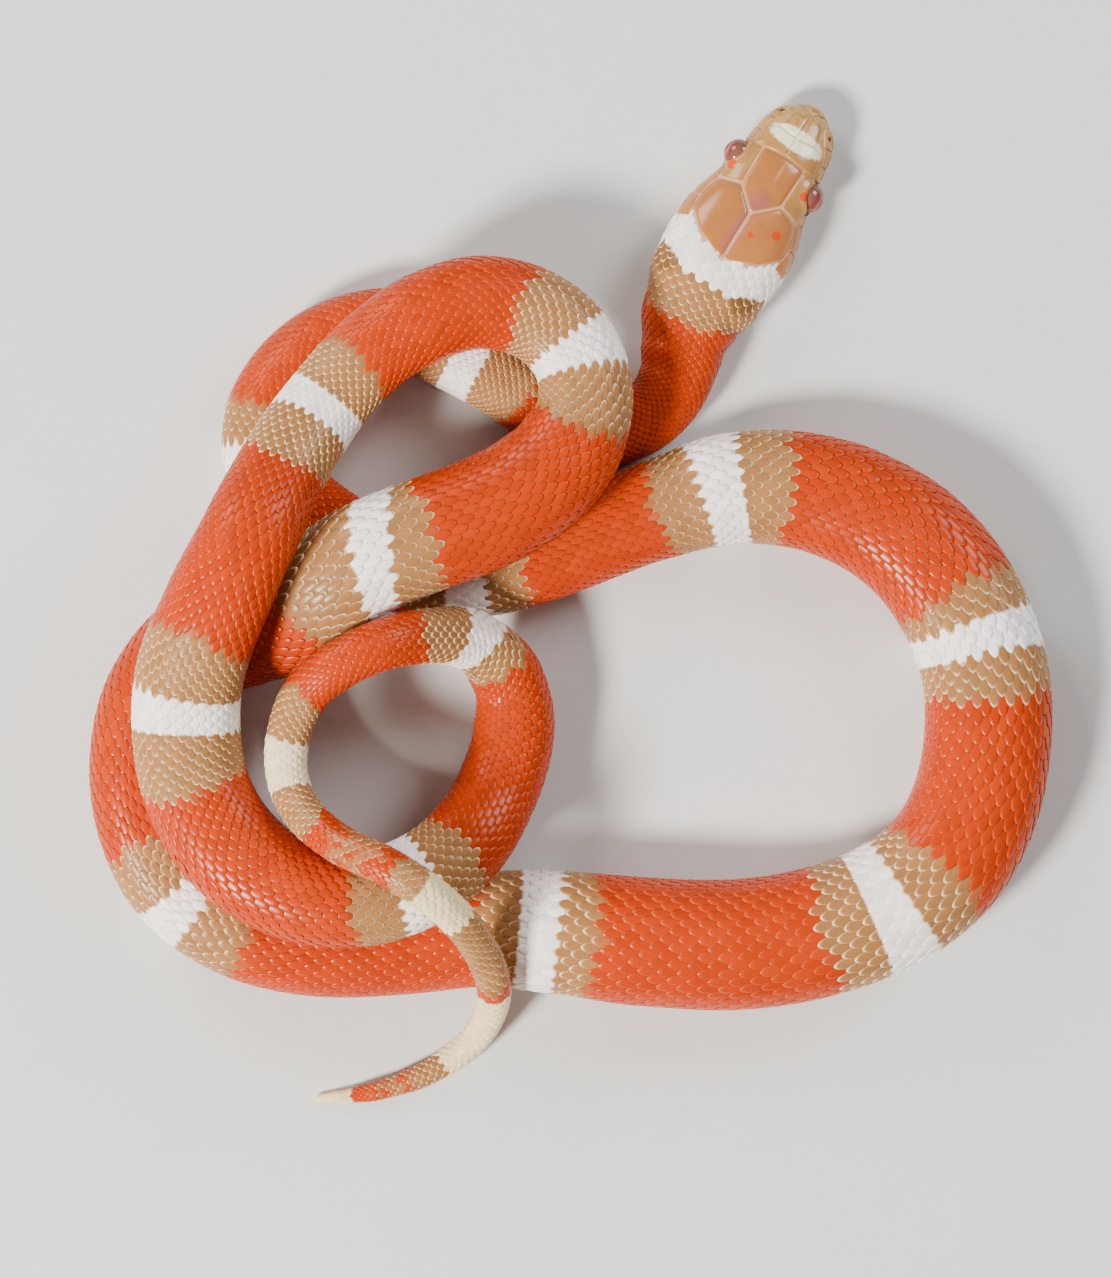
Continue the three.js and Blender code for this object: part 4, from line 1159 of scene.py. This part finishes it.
def plate_finish():
    """Smooth and glossy, with the colours of the head and painted shade in the nostril pits."""
    paint = Finish("plates")
    rim, pit, tone = (paint.value(name) for name in ("along", "pit", "tone"))
    colour = paint.tint(head_colour(paint, rim.ramp(0.93, 0.985) * 0.8), 0.9 + 0.2 * tone)
    fine = paint.noise(0.5)
    # painted shade darkens the nostril pits
    return paint.close(Base_Color=paint.blend(colour, HOLLOW_SHADE, pit.ramp(0.2, 0.7)), Roughness=0.14 + 0.08 * fine,
                       Normal=paint.relief(fine, 0.12, 0.08), Specular_IOR_Level=0.4)


def eye_finish():
    """A rosy iris round a dark red pupil, all glossy. The mesh carries how far each
    point looks outwards, from -1 to 1."""
    paint = Finish("eye")
    out = paint.value("out")
    iris = paint.blend(EYE_RED, EYE_ROSE, out.ramp(0.60, 0.82) * paint.noise(0.35).ramp(0.3, 0.6))
    colour = paint.blend(paint.blend(iris, EYE_DARK, out.ramp(0.83, 0.86)), EYE_RING, out.ramp(0.55, 0.25))
    return paint.close(Base_Color=colour, Roughness=0.1)


# Floor, lights and camera
FLOOR_HALF = 900.0
LAMPS = (
    # name, size, power, place and colour
    ("key", 160, 12.0, (-420, -330, 470), (1.0, 0.96, 0.9)),
    ("fill", 320, 3.6, (460, 380, 380), (0.94, 0.97, 1.0)),
    ("side", 320, 3.0, (-380, 480, 360), (1.0, 0.98, 0.95)),
)
STUDIO, STUDIO_POWER = (1.0, 0.98, 0.95, 1.0), 0.2
SENSOR, PICTURE_TALL = 36.0, 127.8  # height of the sensor, and of what it sees on the floor
CAMERA = (-1.65, -3.6, VIEW)


def floor_finish():
    """A matt light grey with faint clouds."""
    paint = Finish("floor")
    return paint.close(Base_Color=paint.blend(FLOOR_LIGHT, FLOOR_DARK, paint.noise(6.0)), Roughness=0.8)


def floor():
    """One wide square, a hundredth of a millimetre under the body."""
    half, low = FLOOR_HALF * MM, -0.01 * MM
    sheet = bpy.data.meshes.new("floor")
    sheet.from_pydata([(-half, -half, low), (half, -half, low), (half, half, low), (-half, half, low)], [],
                      [(0, 1, 2, 3)])
    piece = bpy.data.objects.new("floor", sheet)
    bpy.context.scene.collection.objects.link(piece)
    sheet.materials.append(floor_finish())


def lamp(name, size, power, place, colour):
    """A round lamp that looks at the middle of the floor: tipped by the angle of
    its place from straight up, and turned by its bearing."""
    light = bpy.data.lights.new(name, "AREA")
    light.shape, light.size, light.energy, light.color = "DISK", size * MM, power, colour
    made = bpy.data.objects.new(name, light)
    x, y, z = place
    made.location = [c * MM for c in place]
    made.rotation_euler = (math.atan2(math.hypot(x, y), z), 0, math.atan2(y, x) + math.pi / 2)
    bpy.context.scene.collection.objects.link(made)


def light_and_camera():
    """A warm key from the lower left of the picture and two weak fills. None is
    overhead, where the wet-looking scales would mirror it as a veil. The camera
    looks straight down."""
    for row in LAMPS:
        lamp(*row)
    world = bpy.data.worlds.new("studio")
    world.use_nodes = True
    background = world.node_tree.nodes["Background"]
    background.inputs["Color"].default_value = STUDIO
    background.inputs["Strength"].default_value = STUDIO_POWER
    bpy.context.scene.world = world
    lens = bpy.data.cameras.new("camera")
    lens.sensor_fit, lens.sensor_height = "VERTICAL", SENSOR
    lens.lens = SENSOR * VIEW / PICTURE_TALL
    lens.clip_start, lens.clip_end = 0.01, 10.0
    camera = bpy.data.objects.new("camera", lens)
    camera.location = [c * MM for c in CAMERA]
    bpy.context.scene.collection.objects.link(camera)
    bpy.context.scene.camera = camera


scales = scale_finish()
skin(skin_finish())
back_scales(scales)
throat_scales(scales)
belly_scutes(scales)
tail_tip(scales)
head_plates(plate_finish())
eyes(eye_finish())
floor()
light_and_camera()
